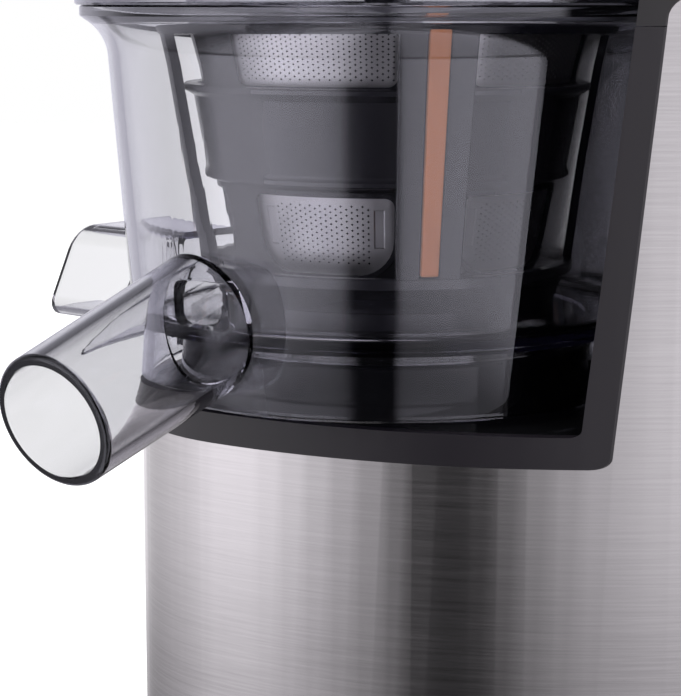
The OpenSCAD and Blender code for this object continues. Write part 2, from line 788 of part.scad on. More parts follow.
// ---------- wiper ----------

strut_t = 2.4;
function wipe_at(z) = 50 + 0.165 * (z - 37);
strut_low = 31;
strut_high = 93;
ring_high = 97;
band = 0.4;
band_top = 32.5;
slot_low = 33;
slot_high = 94.5;
strut_wide = 19;
slot_wide = 5.2;
blade_pitch = 360 / blades;
plain_w = 14;
plain_foot = 25;

module wiper_frame() color(satin_c)
  difference() {
    union() {
      // foot with the ring gear, and the band that the struts grow from
      at_bowl() rotate_extrude() polygon([
        [36, gear_low], [41.5, gear_low], [41.5, floor_top], [44.6, floor_top], [44.6, 24],
        [wipe_at(30) + band, 29.5], [wipe_at(strut_low) + band, band_top],
        [wipe_at(strut_low) - strut_t - band, band_top],
        [wipe_at(30) - strut_t - band, 30], [42.4, gear_high], [36, gear_high]]);
      at_bowl() rotate_extrude() polygon([
        [wipe_at(strut_high) - strut_t - band, strut_high],
        [wipe_at(strut_high) + band, strut_high],
        [wipe_at(ring_high) + band + 0.5, ring_high - 1], [wipe_at(ring_high), ring_high],
        [wipe_at(ring_high) - strut_t - 1, ring_high]]);
      at_bowl() for (i = [0:blades - 1])
        rotate([0, 0, blade_at + i * blade_pitch - strut_wide / 2])
          rotate_extrude(angle = strut_wide) polygon([
            [wipe_at(strut_low) - strut_t, strut_low], [wipe_at(strut_low), strut_low],
            [wipe_at(strut_high + 1), strut_high + 1],
            [wipe_at(strut_high + 1) - strut_t, strut_high + 1]]);
      // plain struts between the blades, widening at the foot
      at_bowl() for (i = [0:blades - 1]) rotate([0, 0, blade_at + (i + 0.5) * blade_pitch])
        intersection() {
          rotate_extrude() polygon([
            [wipe_at(strut_low) - strut_t, strut_low], [wipe_at(strut_low), strut_low],
            [wipe_at(strut_high + 1), strut_high + 1],
            [wipe_at(strut_high + 1) - strut_t, strut_high + 1]]);
          translate([30, 0, 0]) rotate([90, 0, 90]) linear_extrude(40) polygon([
            [-plain_foot / 2, strut_low - 1], [plain_foot / 2, strut_low - 1], [plain_w / 2, 58],
            [plain_w / 2, strut_high + 2], [-plain_w / 2, strut_high + 2], [-plain_w / 2, 58]]);
        }
    }
    at_bowl() translate([0, 0, gear_low - 1]) rotate([0, 0, ring_turn])
      linear_extrude(gear_high - gear_low + 1.5)
        polygon(gear_points(ring_n, mod_b, -play, 1.25, 0.85));
    at_bowl() for (i = [0:blades - 1])
      rotate([0, 0, blade_at + i * blade_pitch - slot_wide / 2])
        rotate_extrude(angle = slot_wide) polygon([
          [44, slot_low], [70, slot_low], [70, slot_high], [44, slot_high]]);
  }

module wiper_blades() color(orange_c)
  at_bowl() for (i = [0:blades - 1]) rotate([0, 0, blade_at + i * blade_pitch]) {
    rotate([0, 0, -slot_wide / 2]) rotate_extrude(angle = slot_wide) polygon([
      [wipe_at(slot_low) - strut_t, slot_low], [wipe_at(slot_low) + 0.8, slot_low],
      [wipe_at(slot_high) + 0.8, slot_high], [wipe_at(slot_high) - strut_t, slot_high]]);
    rotate([90, 0, 0]) linear_extrude(1.6, center = true) polygon([
      [strain_at(35) + 0.4, 35], [wipe_at(35) - strut_t + 0.2, 35],
      [wipe_at(93.4) - strut_t + 0.2, 93.4], [strain_at(93.4) + 0.4, 93.4],
      [strain_at(upper_lip + 1.5) + 0.4, upper_lip + 1.5],
      [strain_at(upper_lip + 1.5) + 3.3, upper_lip + 1.3],
      [wipe_at(upper_lip) - strut_t + 0.1, upper_lip + 1.3],
      [wipe_at(lower_lip) - strut_t + 0.1, lower_lip - 2.3],
      [strain_at(lower_lip - 3) + 0.4, lower_lip - 3]]);
  }

// ---------- auger ----------

flight_gap = 1.3;
flight_turns = 1.9;
flight_step = 15;

function flight_r(z) = strain_at(z) - strainer_t - 0.8 - flight_gap;

// One turn of screw: a tapered bar wound about the axis from z0 to z1
module flight(z0, z1, turns, start, core) {
  n = ceil(turns * 360 / flight_step);
  points = [for (i = [0:n]) let (a = start + i * turns * 360 / n, z = z0 + (z1 - z0) * i / n,
      grow = min(1, i / 4 + 0.35, (n - i) / 4 + 0.35), ro = core + (flight_r(z) - core) * grow)
    each [for (p = [[core - 3, -3], [ro, -1.4], [ro, 1.4], [core - 3, 3]])
      [p[0] * cos(a), p[0] * sin(a), z + p[1]]]];
  sides = [for (i = [0:n - 1], k = [0:3]) let (p = 4 * i + k, q = 4 * i + (k + 1) % 4)
    each [[p, q + 4, p + 4], [p, q, q + 4]]];
  last = 4 * n;
  polyhedron(points = points, faces = concat(sides,
    [[2, 1, 0], [3, 2, 0], [last, last + 1, last + 2], [last, last + 2, last + 3]]));
}

module auger() color([0.2, 0.2, 0.22])
  at_bowl() difference() {
    union() {
      rotate_extrude() polygon([
        [0, 14.4], [7.5, 14.4], [7.5, 31.6], [30, 31.6],
        [flight_r(36), 35], [flight_r(40), 40], [29, 46], [22, 60], [17, 78], [13.5, 92],
        [11.5, 96.5], [6, 97.5], [6, 106], [5, 107], [0, 107]]);
      spur(auger_n, mod_b, 0, floor_top, gear_high);
      rod(10.8, gear_high, 32);
      flight(44, 92, flight_turns, 40, 15);
    }
    // room for the metal socket
    rod(6.9, 33, 62);
    translate([0, 0, 13]) cylinder(r = (hex_af / 2 + hex_play) * 2 / sqrt(3), h = 30, $fn = 6);
  }

module auger_socket() color(metal_c)
  at_bowl() difference() {
    rod(6.9, 33, 62);
    translate([0, 0, 30]) cylinder(r = (hex_af / 2 + hex_play) * 2 / sqrt(3), h = 30.5, $fn = 6);
  }

// ---------- lid and pusher ----------

lid_low = bowl_h;
dome_z = 104;
pin_r = 6;

module lid() color(smoke_c)
  at_bowl() difference() {
    union() {
      rotate_extrude() polygon([
        [73, 95.2], [74, 95.2], [74, lid_low], [lid_r, lid_low], [lid_r, dome_z],
        [79.5, dome_z + 1.5], [72, dome_z + 4], [55, dome_z + 7.5], [30, dome_z + 9.5],
        [0, dome_z + 10], [0, dome_z + 7.2], [30, dome_z + 6.8], [50, dome_z + 5.4],
        [50, strain_top + 0.3], [52.5, strain_top + 0.3], [52.5, dome_z + 5],
        [71, dome_z + 1.4], [73, dome_z]]);
      rod(9.5, 99, dome_z + 9);
      // feed tube with its hopper mouth
      translate([0, -feed_front, 0]) {
        rod(feed_r + 3, dome_z + 4, feed_top);
        translate([0, 0, feed_top - 14])
          cylinder(r1 = feed_r + 3, r2 = feed_r + 12, h = 14);
      }
      // lug at the back that carries the magnet
      translate([-13, lid_r - 4, lid_low + 1]) cube([26, 11.5, 7.5]);
    }
    translate([0, -feed_front, 0]) {
      rod(feed_r, 98.5, feed_top + 1);
      translate([0, 0, feed_top - 12.5])
        cylinder(r1 = feed_r, r2 = feed_r + 10.2, h = 13);
    }
    rod(pin_r + run_play, 98, dome_z + 4);
    translate([-6, lid_r + 3.5, lid_low + 2.5]) cube([12, 6, 4.5]);
  }

module lid_gasket() color([0.8, 0.8, 0.78])
  at_bowl() tube(75.6, 74, bowl_h - 2, bowl_h);

module lid_magnet() color(metal_c)
  at_bowl() translate([-6, lid_r + 3.5, lid_low + 2.5]) cube([12, 3.5, 4.5]);

pusher_r = feed_r - 0.6;
pusher_low = 106;

module pusher() color(black_c)
  at_bowl() translate([0, -feed_front, 0]) difference() {
    union() {
      rod(pusher_r - 2, pusher_low, pusher_low + 6);
      rod(pusher_r, pusher_low + 6, feed_top + 4);
      translate([0, 0, feed_top]) cylinder(r = feed_r + 14, h = 5);
      translate([0, 0, feed_top + 5]) cylinder(r1 = feed_r + 14, r2 = feed_r + 11, h = 4);
    }
    // hollow handle, open at the top
    rod(pusher_r - 2.4, pusher_low + 12, feed_top + 10);
  }

module pusher_ring() color(rubber_c)
  at_bowl() translate([0, -feed_front, 0])
    tube(pusher_r, pusher_r - 2, pusher_low + 2, pusher_low + 6);

steel_shell();
trim_frame();
inner_housing();
tower_cap();
base_plate();
foot_ring();
base_screws();
motor_core();
motor_windings();
motor_bracket_lower();
motor_bracket_upper();
motor_bearings();
motor_studs();
gearbox_case();
gearbox_cover();
gearbox_screws();
gear_bushes();
shaft_seal();
run_capacitor();
control_board();
selector_switch();
lid_sensor();
cord_inlet();
rotor();
motor_pinion();
cooling_fan();
countershaft();
countershaft_gear();
drive_shaft();
output_gear();
selector_knob();
juicing_bowl();
juice_spout();
pulp_chute();
bowl_seal();
pulp_seal();
strainer_frame();
strainer_mesh();
idler_pin();
idler_gear();
wiper_frame();
wiper_blades();
auger();
auger_socket();
lid();
lid_gasket();
lid_magnet();
pusher();
pusher_ring();
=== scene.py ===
import json
import bmesh
import bpy
from math import radians, degrees, sin, cos, atan2, pi
from mathutils import Vector, Matrix


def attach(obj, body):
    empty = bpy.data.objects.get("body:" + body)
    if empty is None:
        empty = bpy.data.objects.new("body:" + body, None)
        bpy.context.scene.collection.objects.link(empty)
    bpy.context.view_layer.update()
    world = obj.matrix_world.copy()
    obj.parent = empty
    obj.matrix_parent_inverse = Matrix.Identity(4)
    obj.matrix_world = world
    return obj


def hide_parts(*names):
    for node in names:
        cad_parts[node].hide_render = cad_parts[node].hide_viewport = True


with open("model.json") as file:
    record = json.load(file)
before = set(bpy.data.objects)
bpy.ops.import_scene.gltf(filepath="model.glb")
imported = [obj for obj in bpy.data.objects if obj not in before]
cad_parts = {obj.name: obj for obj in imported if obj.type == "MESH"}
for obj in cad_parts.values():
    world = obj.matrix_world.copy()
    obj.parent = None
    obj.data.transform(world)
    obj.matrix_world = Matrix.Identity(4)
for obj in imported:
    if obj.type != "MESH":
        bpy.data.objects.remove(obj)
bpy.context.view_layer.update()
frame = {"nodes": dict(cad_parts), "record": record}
mm = 0.001

# The drive axis is x = y = 0, the bowl stands at bowlZ, the tower is behind it (+y).
# The housing's plan has two end arcs and two long side arcs; lengths are in millimetres
bowlZ = 170
housing = {"width": 138, "depth": 227, "endR": 50, "back": 48, "steel": 1.2, "skin": 3}
endC = housing["depth"] / 2 - housing["endR"]
halfW = housing["width"] / 2
sideR = (endC ** 2 + halfW ** 2 - housing["endR"] ** 2) / (2 * (halfW - housing["endR"]))
sideC = sideR - halfW
joinA = degrees(atan2(endC, sideC))


def objectMode():
    if bpy.context.object and bpy.context.object.mode == "EDIT":
        bpy.ops.object.mode_set(mode="OBJECT")


# Selects these pieces and no others; the first becomes the active one
def choose(*pieces):
    objectMode()
    bpy.ops.object.select_all(action="DESELECT")
    for piece in pieces:
        piece.select_set(True)
    if pieces:
        bpy.context.view_layer.objects.active = pieces[0]


print("studio")
camera = {"place": (536.5, 8.3, 268.9), "pitch": 9.717, "yaw": 2.186, "focalPx": 2026.0, "widthPx": 681,
          "sensor": 36, "clip": (0.02, 30)}
camData = bpy.data.cameras.new("camera")
cam = bpy.data.objects.new("camera", camData)
bpy.context.scene.collection.objects.link(cam)
camData.sensor_fit = "HORIZONTAL"
camData.sensor_width = camera["sensor"]
camData.lens = camera["sensor"] * camera["focalPx"] / camera["widthPx"]
camData.clip_start, camData.clip_end = camera["clip"]
cam.location = Vector(camera["place"]) * mm
cam.rotation_euler = (radians(90 - camera["pitch"]), 0, radians(90 + camera["yaw"]))
bpy.context.scene.camera = cam
bpy.context.scene.view_settings.view_transform = "Standard"


# A value or colour that runs between nodes; arithmetic on it adds Math nodes
class Wire:
    def __init__(self, nodes, socket):
        self.nodes, self.socket = nodes, socket

    def math(self, operation, a, b):
        return self.nodes.add("Math", {"operation": operation}, {0: a, 1: b})

    def __add__(self, other):
        return self.math("ADD", self, other)

    def __radd__(self, other):
        return self.math("ADD", other, self)

    def __sub__(self, other):
        return self.math("SUBTRACT", self, other)

    def __mul__(self, other):
        return self.math("MULTIPLY", self, other)

    def __truediv__(self, other):
        return self.math("DIVIDE", self, other)

    def atLeast(self, other):
        return self.math("MAXIMUM", self, other)


# Node tree of a material or of the world
class Nodes:
    def __init__(self, owner):
        owner.use_nodes = True
        self.tree = owner.node_tree
        self.tree.nodes.clear()

    # One node with its settings and sockets; "stops" and "curve" fill a colour ramp
    def add(self, kind, settings=None, sockets=None, out=0):
        node = self.tree.nodes.new("ShaderNode" + kind)
        for key, value in (settings or {}).items():
            if key == "stops":
                ramp = node.color_ramp
                while len(ramp.elements) < len(value):
                    ramp.elements.new(0.5)
                for element, (place, level) in zip(ramp.elements, value):
                    element.position = place
                    element.color = (level, level, level, 1)
            elif key == "curve":
                node.color_ramp.interpolation = value
            else:
                setattr(node, key, value)
        for key, value in (sockets or {}).items():
            if isinstance(value, Wire):
                self.tree.links.new(value.socket, node.inputs[key])
            else:
                node.inputs[key].default_value = value
        return Wire(self, node.outputs[out])

    def end(self, surfaceWire, volumeWire=None, kind="OutputMaterial"):
        node = self.tree.nodes.new("ShaderNode" + kind)
        self.tree.links.new(surfaceWire.socket, node.inputs["Surface"])
        if volumeWire:
            self.tree.links.new(volumeWire.socket, node.inputs["Volume"])

    # Noise in object space; stretch gives its cycles per metre along x, y and z
    def noise(self, stretch, detail=2.0, rough=0.5):
        place = self.add("TexCoord", out="Object")
        placed = self.add("Mapping", {"vector_type": "POINT"}, {"Vector": place, "Scale": stretch})
        values = {"Vector": placed, "Scale": 1.0, "Detail": detail, "Roughness": rough}
        return self.add("TexNoise", {}, values)

    def between(self, factor, low, high):
        return self.add("Mix", {"data_type": "RGBA"}, {0: factor, 6: (*low, 1), 7: (*high, 1)}, out=2)

    def times(self, a, b):
        return self.add("Mix", {"data_type": "RGBA", "blend_type": "MULTIPLY"}, {0: 1.0, 6: a, 7: b}, out=2)


# Light that comes from each side. "round" has stops of (azimuth in degrees, light) and "up" has stops of
# (sine of the elevation, share of it). A smooth curve holds no light above 1, so only the steel's has one
boxLight = {
    "tint": (1, 0.98, 1.13),
    "round": [(-180, 0.8), (-150, 0.9), (-140, 1.2), (-118, 1.4), (-108, 0.9), (-100, 0.48), (-88, 0.62),
              (-79, 1.0), (-71, 2.1), (-62, 2.5), (-53, 2.4), (-35, 1.92), (-25, 1.6), (-18.5, 1.05),
              (-13.5, 0.03), (4.5, 0.03), (8, 1.25), (12, 1.5), (31, 1.75), (44, 1.8), (57, 2.15), (64, 2.1),
              (68.5, 0.02), (118, 0.02), (130, 0.4), (180, 0.9)],
    "up": [(-1, 0.7), (-0.34, 0.7), (-0.3, 0.3), (-0.278, 0.3), (-0.262, 0.45), (-0.248, 0.62), (-0.236, 1.0),
           (0.35, 0.9), (0.5, 0.5), (1, 0.4)]}
steelLight = {
    "tint": (1.01, 0.985, 1.02),
    "curve": "B_SPLINE",
    "round": [(-180, 0.9), (-155, 0.75), (-147, 0.5), (-126, 0.45), (-102, 0.6), (-83, 0.7), (-66, 0.93),
              (-58.7, 0.8), (-52, 0.65), (-43, 0.44), (-35, 0.29), (-31.5, 0.21), (-28.5, 0.03),
              (-25.5, 0.008), (-14, 0.008), (-10, 0.08), (-7, 0.16), (-3, 0.26), (3, 0.34), (8.5, 0.43),
              (22, 0.54), (50, 0.85), (78, 0.9), (96, 0.4), (112, 0.4), (135, 0.95), (180, 0.9)],
    "up": [(-1, 0.9), (-0.4, 0.95), (-0.35, 0.62), (-0.3, 0.68), (-0.278, 0.8), (-0.25, 1.1), (-0.22, 1.34),
           (-0.17, 1.5), (0.5, 1.5), (1, 1.0)]}
besideLight = {
    "tint": (1, 0.98, 1.08),
    "round": [(-180, 0.35), (-130, 0.35), (-104, 0.16), (-94, 0.2), (-86, 1.0), (-79, 1.7), (-71, 2.4),
              (-62, 2.4), (-53, 2.25), (-35, 1.8), (-25, 1.5), (-18.5, 1.0), (-13.5, 0.03), (4.5, 0.03),
              (8, 1.2), (12, 1.4), (31, 1.75), (44, 1.85), (57, 2.1), (64, 2.0), (68.5, 0.02), (118, 0.02),
              (140, 0.3), (180, 0.35)],
    "up": [(-1, 0.6), (-0.38, 0.6), (-0.35, 0.1), (-0.335, 0.1), (-0.31, 0.5), (-0.296, 0.92), (0.2, 0.92),
           (0.32, 0.3), (1, 0.2)]}
columnScale = 2.0  # the height's stops are stored halved, and the strength makes up for it


# Light of one such table towards a direction, and that direction's x and z
def lightToward(nodes, direction, light):
    x, y, z = [nodes.add("SeparateXYZ", {}, {0: direction}, out=i) for i in range(3)]
    around = x.math("ARCTAN2", y, x) / (2 * pi) + 0.5
    ringStops = [((azimuth + 180) / 360, level) for azimuth, level in light["round"]]
    ring = nodes.add("ValToRGB", {"stops": ringStops, "curve": light.get("curve", "LINEAR")}, {0: around})
    columnStops = [((height + 1) / 2, level / columnScale) for height, level in light["up"]]
    column = nodes.add("ValToRGB", {"stops": columnStops}, {0: z * 0.5 + 0.5})
    return nodes.times(nodes.times(ring, column), (*light["tint"], 1)), x, z


# World: an even light on what scatters, white behind the object and straight on through clear plastic.
# What clear plastic bends aside or mirrors inside meets besideLight; plain mirrors see only the tents
skyLight = {"even": 0.62, "white": 1.0, "lookX": -1.0, "lookZ": 0.17, "onward": (0.88, 0.975)}
world = bpy.data.worlds.new("studio")
bpy.context.scene.world = world
sky = Nodes(world)
beside, wayX, wayZ = lightToward(sky, sky.add("TexCoord", out="Generated"), besideLight)
isCamera = sky.add("LightPath", out="Is Camera Ray")
isGlossy = sky.add("LightPath", out="Is Glossy Ray")
isThrough = sky.add("LightPath", out="Is Transmission Ray")
ahead = wayX * skyLight["lookX"] - wayZ * skyLight["lookZ"]
bent, straight = skyLight["onward"]
onward = sky.add("MapRange", {}, {0: ahead, 1: bent, 2: straight, 3: 0.0, 4: 1.0})
even = sky.add("Background", {}, {"Color": (1, 1, 1, 1), "Strength": skyLight["even"]})
white = sky.add("Background", {}, {"Color": (1, 1, 1, 1), "Strength": skyLight["white"]})
black = sky.add("Background", {}, {"Color": (0, 0, 0, 1), "Strength": 0.0})
aside = sky.add("Background", {}, {"Color": beside, "Strength": columnScale})
mixed = sky.add("MixShader", {}, {0: isGlossy, 1: even, 2: black})
mixed = sky.add("MixShader", {}, {0: isThrough, 1: mixed, 2: aside})
mixed = sky.add("MixShader", {}, {0: isCamera.atLeast(isThrough * onward), 1: mixed, 2: white})
sky.end(mixed, kind="OutputWorld")


# Soft boxes as a sphere round the object that only mirrors see
def tent(name, radius, light):
    choose()
    bpy.ops.mesh.primitive_uv_sphere_add(segments=48, ring_count=24, radius=radius, location=(0, 0, 0))
    piece = bpy.context.object
    piece.name = name
    glow = bpy.data.materials.new(name)
    glow.cycles.emission_sampling = "NONE"
    nodes = Nodes(glow)
    place = nodes.add("TexCoord", out="Object")
    direction = nodes.add("VectorMath", {"operation": "NORMALIZE"}, {0: place})
    colour = lightToward(nodes, direction, light)[0]
    lit = nodes.add("Emission", {}, {"Color": colour, "Strength": columnScale})
    nodes.end(nodes.add("AddShader", {}, {0: nodes.add("BsdfTransparent"), 1: lit}))
    piece.data.materials.append(glow)
    for kind in ("camera", "diffuse", "transmission", "volume_scatter", "shadow"):
        setattr(piece, "visible_" + kind, False)
    return piece


boxTent = tent("softBoxes", 3.2, boxLight)
steelTent = tent("steelBoxes", 3.4, steelLight)


# Keeps a tent's light off some pieces, or for them alone
def lightFor(lamp, state, pieces):
    group = bpy.data.collections.new(lamp.name + "Receivers")
    for piece in pieces:
        group.objects.link(piece)
    lamp.light_linking.receiver_collection = group
    for link in group.collection_objects:
        link.light_linking.link_state = state


lampAim = Vector((0, 0, 200)) * mm
lamps = [
    {"name": "keyRight", "place": (900, 900, 1100), "size": 900, "power": 9.0},
    {"name": "keyFront", "place": (900, -1100, 1000), "size": 900, "power": 10.0},
    {"name": "fillLeft", "place": (-1200, -400, 900), "size": 1100, "power": 7.0},
    {"name": "back", "place": (-300, 1400, 1000), "size": 900, "power": 6.0},
]
for lamp in lamps:
    data = bpy.data.lights.new(lamp["name"], "AREA")
    data.shape, data.size, data.energy = "SQUARE", lamp["size"] * mm, lamp["power"]
    light = bpy.data.objects.new(lamp["name"], data)
    light.location = Vector(lamp["place"]) * mm
    light.rotation_euler = (lampAim - light.location).to_track_quat("-Z", "Y").to_euler()
    light.visible_camera = light.visible_glossy = light.visible_transmission = False
    bpy.context.scene.collection.objects.link(light)

# Floor: pale, with the object's shadow on it, and not seen through clear plastic or in mirrors
ground = {"size": 8, "grey": 0.8, "lift": 0.5}
choose()
bpy.ops.mesh.primitive_plane_add(size=ground["size"], location=(0, 0, 0))
floor = bpy.context.object
floor.name = "floor"
paleFloor = bpy.data.materials.new("paleFloor")
nodes = Nodes(paleFloor)
plain = nodes.add("BsdfDiffuse", {}, {"Color": (*[ground["grey"]] * 3, 1)})
lift = nodes.add("Emission", {}, {"Color": (1, 1, 1, 1), "Strength": ground["lift"]})
seen = nodes.add("AddShader", {}, {0: plain, 1: lift})
lifted = nodes.add("MixShader", {}, {0: nodes.add("LightPath", out="Is Camera Ray"), 1: plain, 2: seen})
nodes.end(nodes.add("MixShader", {}, {0: nodes.add("LightPath", out="Is Transmission Ray"), 1: lifted,
                                      2: nodes.add("BsdfTransparent")}))
floor.data.materials.append(paleFloor)
floor.visible_glossy = False


def arc(cx, cz, r, a0, a1, steps):
    turns = [radians(a0 + (a1 - a0) * i / steps) for i in range(steps + 1)]
    return [(cx + r * cos(a), cz + r * sin(a)) for a in turns]


def shift(x, y, z):
    return Matrix.Translation(Vector((x, y, z)) * mm)


def tip(angle, axis):
    return Matrix.Rotation(radians(angle), 4, axis)


def atBowl(x=0, y=0, z=0, turnZ=0):
    return shift(x, y, bowlZ + z) @ tip(turnZ, "Z")


def cleanMesh(normals=True):
    bpy.ops.mesh.select_all(action="SELECT")
    bpy.ops.mesh.remove_doubles(threshold=1e-6)
    if normals:
        bpy.ops.mesh.normals_make_consistent(inside=False)


def fillEnds():
    bpy.ops.mesh.fill_holes(sides=0)
    cleanMesh()


# A line of edges: a plane merged to one vertex, which is then extruded from point to point
def drawLine(name, points, closed=True):
    choose()
    bpy.ops.mesh.primitive_plane_add(size=mm, location=Vector(points[0]) * mm)
    piece = bpy.context.object
    piece.name = name
    bpy.ops.object.transform_apply(location=True, rotation=True, scale=True)
    bpy.ops.object.mode_set(mode="EDIT")
    bpy.ops.mesh.select_mode(type="VERT")
    bpy.ops.mesh.select_all(action="SELECT")
    bpy.ops.mesh.merge(type="CENTER")
    loop = points[1:] + points[:1] if closed else points[1:]
    for a, b in zip(points, loop):
        step = (Vector(b) - Vector(a)) * mm
        bpy.ops.mesh.extrude_vertices_move(TRANSFORM_OT_translate={"value": step})
    if closed:
        cleanMesh(normals=False)
    bpy.ops.mesh.select_all(action="SELECT")
    return piece


# Leaves edit mode and, with a matrix, moves the mesh by it; the piece's own place stays at the origin
def settle(piece, place=None):
    objectMode()
    if place is not None:
        piece.matrix_world = place
        choose(piece)
        bpy.ops.object.transform_apply(location=True, rotation=True, scale=True)


# Turned piece: a profile of (radius, height) spun about the drive axis or, with a matrix, about its z
def turn(name, profile, steps=128, sweep=360, start=0, place=None):
    a = radians(start)
    piece = drawLine(name, [(r * cos(a), r * sin(a), z) for r, z in profile])
    bpy.ops.mesh.spin(steps=steps, angle=radians(sweep), center=(0, 0, 0), axis=(0, 0, -1))
    cleanMesh()
    if sweep != 360:
        fillEnds()
    settle(piece, place)
    return piece


# Piece that follows the housing's plan: a profile of (offset, height) spun from arc to arc.
# An open profile is closed by a flat top and bottom
def sweepHousing(name, profile, closed=True):
    middle = housing["back"]
    front = middle - housing["depth"] / 2
    piece = drawLine(name, [(0, front - off, z) for off, z in profile], closed)
    stops = [((0, middle - endC), 90 - joinA, 12), ((-sideC, middle), 2 * joinA, 28),
             ((0, middle + endC), 180 - 2 * joinA, 24), ((sideC, middle), 2 * joinA, 28),
             ((0, middle - endC), 90 - joinA, 12)]
    for (x, y), angle, steps in stops:
        bpy.ops.mesh.spin(steps=steps, angle=radians(angle), center=(x * mm, y * mm, 0), axis=(0, 0, -1))
    cleanMesh()
    if not closed:
        fillEnds()
    objectMode()
    return piece


def pick(piece, kind, test):
    mesh = bmesh.from_edit_mesh(piece.data)
    for item in list(mesh.verts) + list(mesh.edges) + list(mesh.faces):
        item.select = False
    for item in getattr(mesh, kind):
        if test(item):
            item.select_set(True)
    bmesh.update_edit_mesh(piece.data)


# Block with its long edges (along local x), or all of them, rounded, placed by a matrix
def bar(name, size, corner, place, steps=5, allEdges=False):
    choose()
    bpy.ops.mesh.primitive_cube_add(size=1, location=(0, 0, 0))
    piece = bpy.context.object
    piece.name = name
    piece.scale = Vector(size) * mm
    bpy.ops.object.transform_apply(location=True, rotation=True, scale=True)
    if corner:
        bpy.ops.object.mode_set(mode="EDIT")
        bpy.ops.mesh.select_mode(type="EDGE")
        halfLong = size[0] * mm / 2
        pick(piece, "edges", lambda e: allEdges or abs((e.verts[0].co - e.verts[1].co).x) > halfLong)
        bpy.ops.mesh.bevel(offset=corner * mm, segments=steps, affect="EDGES")
    settle(piece, place)
    return piece


# Flat outline (x, z), made thick along y about its plane
def slab(name, outline, thick, place):
    piece = drawLine(name, [(x, -thick / 2, z) for x, z in outline])
    bpy.ops.mesh.edge_face_add()
    bpy.ops.mesh.extrude_region_move(TRANSFORM_OT_translate={"value": (0, thick * mm, 0)})
    cleanMesh()
    settle(piece, place)
    return piece


def applyAll(piece):
    choose(piece)
    for modifier in list(piece.modifiers):
        bpy.ops.object.modifier_apply(modifier=modifier.name)


def combine(piece, tool, operation="DIFFERENCE"):
    objectMode()
    modifier = piece.modifiers.new("combine", "BOOLEAN")
    modifier.operation, modifier.object, modifier.solver = operation, tool, "EXACT"
    applyAll(piece)
    bpy.data.objects.remove(tool)
    bpy.ops.object.mode_set(mode="EDIT")
    bpy.ops.mesh.select_all(action="SELECT")
    bpy.ops.mesh.remove_doubles(threshold=5e-6)
    bpy.ops.object.mode_set(mode="OBJECT")


def join(pieces, name):
    choose(*pieces)
    bpy.ops.object.join()
    pieces[0].name = name
    return pieces[0]


def soften(piece, width, steps=2):
    modifier = piece.modifiers.new("soften", "BEVEL")
    modifier.width, modifier.segments, modifier.limit_method = width * mm, steps, "ANGLE"
    modifier.angle_limit, modifier.use_clamp_overlap = radians(35), True
    applyAll(piece)


# Shades a finished piece, gives it its finish and says what it rides on and stands for
def hand(piece, body, slot, *nodes, smooth=30, finish=None):
    applyAll(piece)
    bpy.ops.object.shade_smooth_by_angle(angle=radians(smooth))
    modifier = piece.modifiers.new("weigh", "WEIGHTED_NORMAL")
    modifier.weight, modifier.keep_sharp = 70, True
    applyAll(piece)
    piece.data.materials.clear()
    piece.data.materials.append(finish or finishes[slot])
    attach(piece, body)
    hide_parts(*nodes)


print("finishes")


def shades(colour, vary):
    return tuple(c * (1 - vary) for c in colour), tuple(min(1, c * (1 + vary)) for c in colour)


# Moulded plastic: a faint unevenness in colour and gloss and a fine moulded texture
def plastic(name, colour, rough=0.4, grain=2500, bump=0.02, **more):
    material = bpy.data.materials.new(name)
    nodes = Nodes(material)
    cloud = nodes.noise((35, 35, 35), detail=3)
    fine = nodes.noise((grain, grain, grain), detail=2)
    dark, light = shades(colour, 0.12)
    bumped = nodes.add("Bump", {}, {"Strength": bump, "Distance": 0.0002, "Height": fine})
    sockets = {"Base Color": nodes.between(cloud, dark, light), "Normal": bumped,
               "Roughness": rough * 0.85 + cloud * (rough * 0.3), **more}
    nodes.end(nodes.add("BsdfPrincipled", {}, sockets))
    return material


# Metal with fine lines; stretch gives their cycles per metre along x, y and z
def metal(name, colour, rough, stretch, vary=0.1, bump=0.05):
    material = bpy.data.materials.new(name)
    nodes = Nodes(material)
    lines = nodes.noise(stretch, detail=3, rough=0.6)
    cloud = nodes.noise((9, 9, 14), detail=2)
    dark, light = shades(colour, vary)
    bumped = nodes.add("Bump", {}, {"Strength": bump, "Distance": 0.00005, "Height": lines})
    sockets = {"Base Color": nodes.between(lines, dark, light), "Metallic": 1.0, "Normal": bumped,
               "Roughness": rough * 0.7 + lines * (rough * 0.45) + cloud * (rough * 0.15)}
    nodes.end(nodes.add("BsdfPrincipled", {}, sockets))
    return material


# Clear smoked plastic: refracts for the eye, lets lamps and soft light through to what stands inside
def smoked(name, tint, density):
    material = bpy.data.materials.new(name)
    nodes = Nodes(material)
    haze = nodes.noise((60, 60, 60))
    clear = nodes.add("BsdfPrincipled", {}, {
        "Base Color": (1, 1, 1, 1), "Roughness": haze * 0.02, "IOR": 1.49, "Transmission Weight": 1.0})
    through = nodes.add("BsdfTransparent", {}, {"Color": (*[0.5 + 0.5 * t for t in tint], 1)})
    isShadow = nodes.add("LightPath", out="Is Shadow Ray")
    isSoft = nodes.add("LightPath", out="Is Diffuse Ray")
    nodes.end(nodes.add("MixShader", {}, {0: isShadow.atLeast(isSoft), 1: clear, 2: through}),
              nodes.add("VolumeAbsorption", {}, {"Color": (*tint, 1), "Density": density}))
    return material


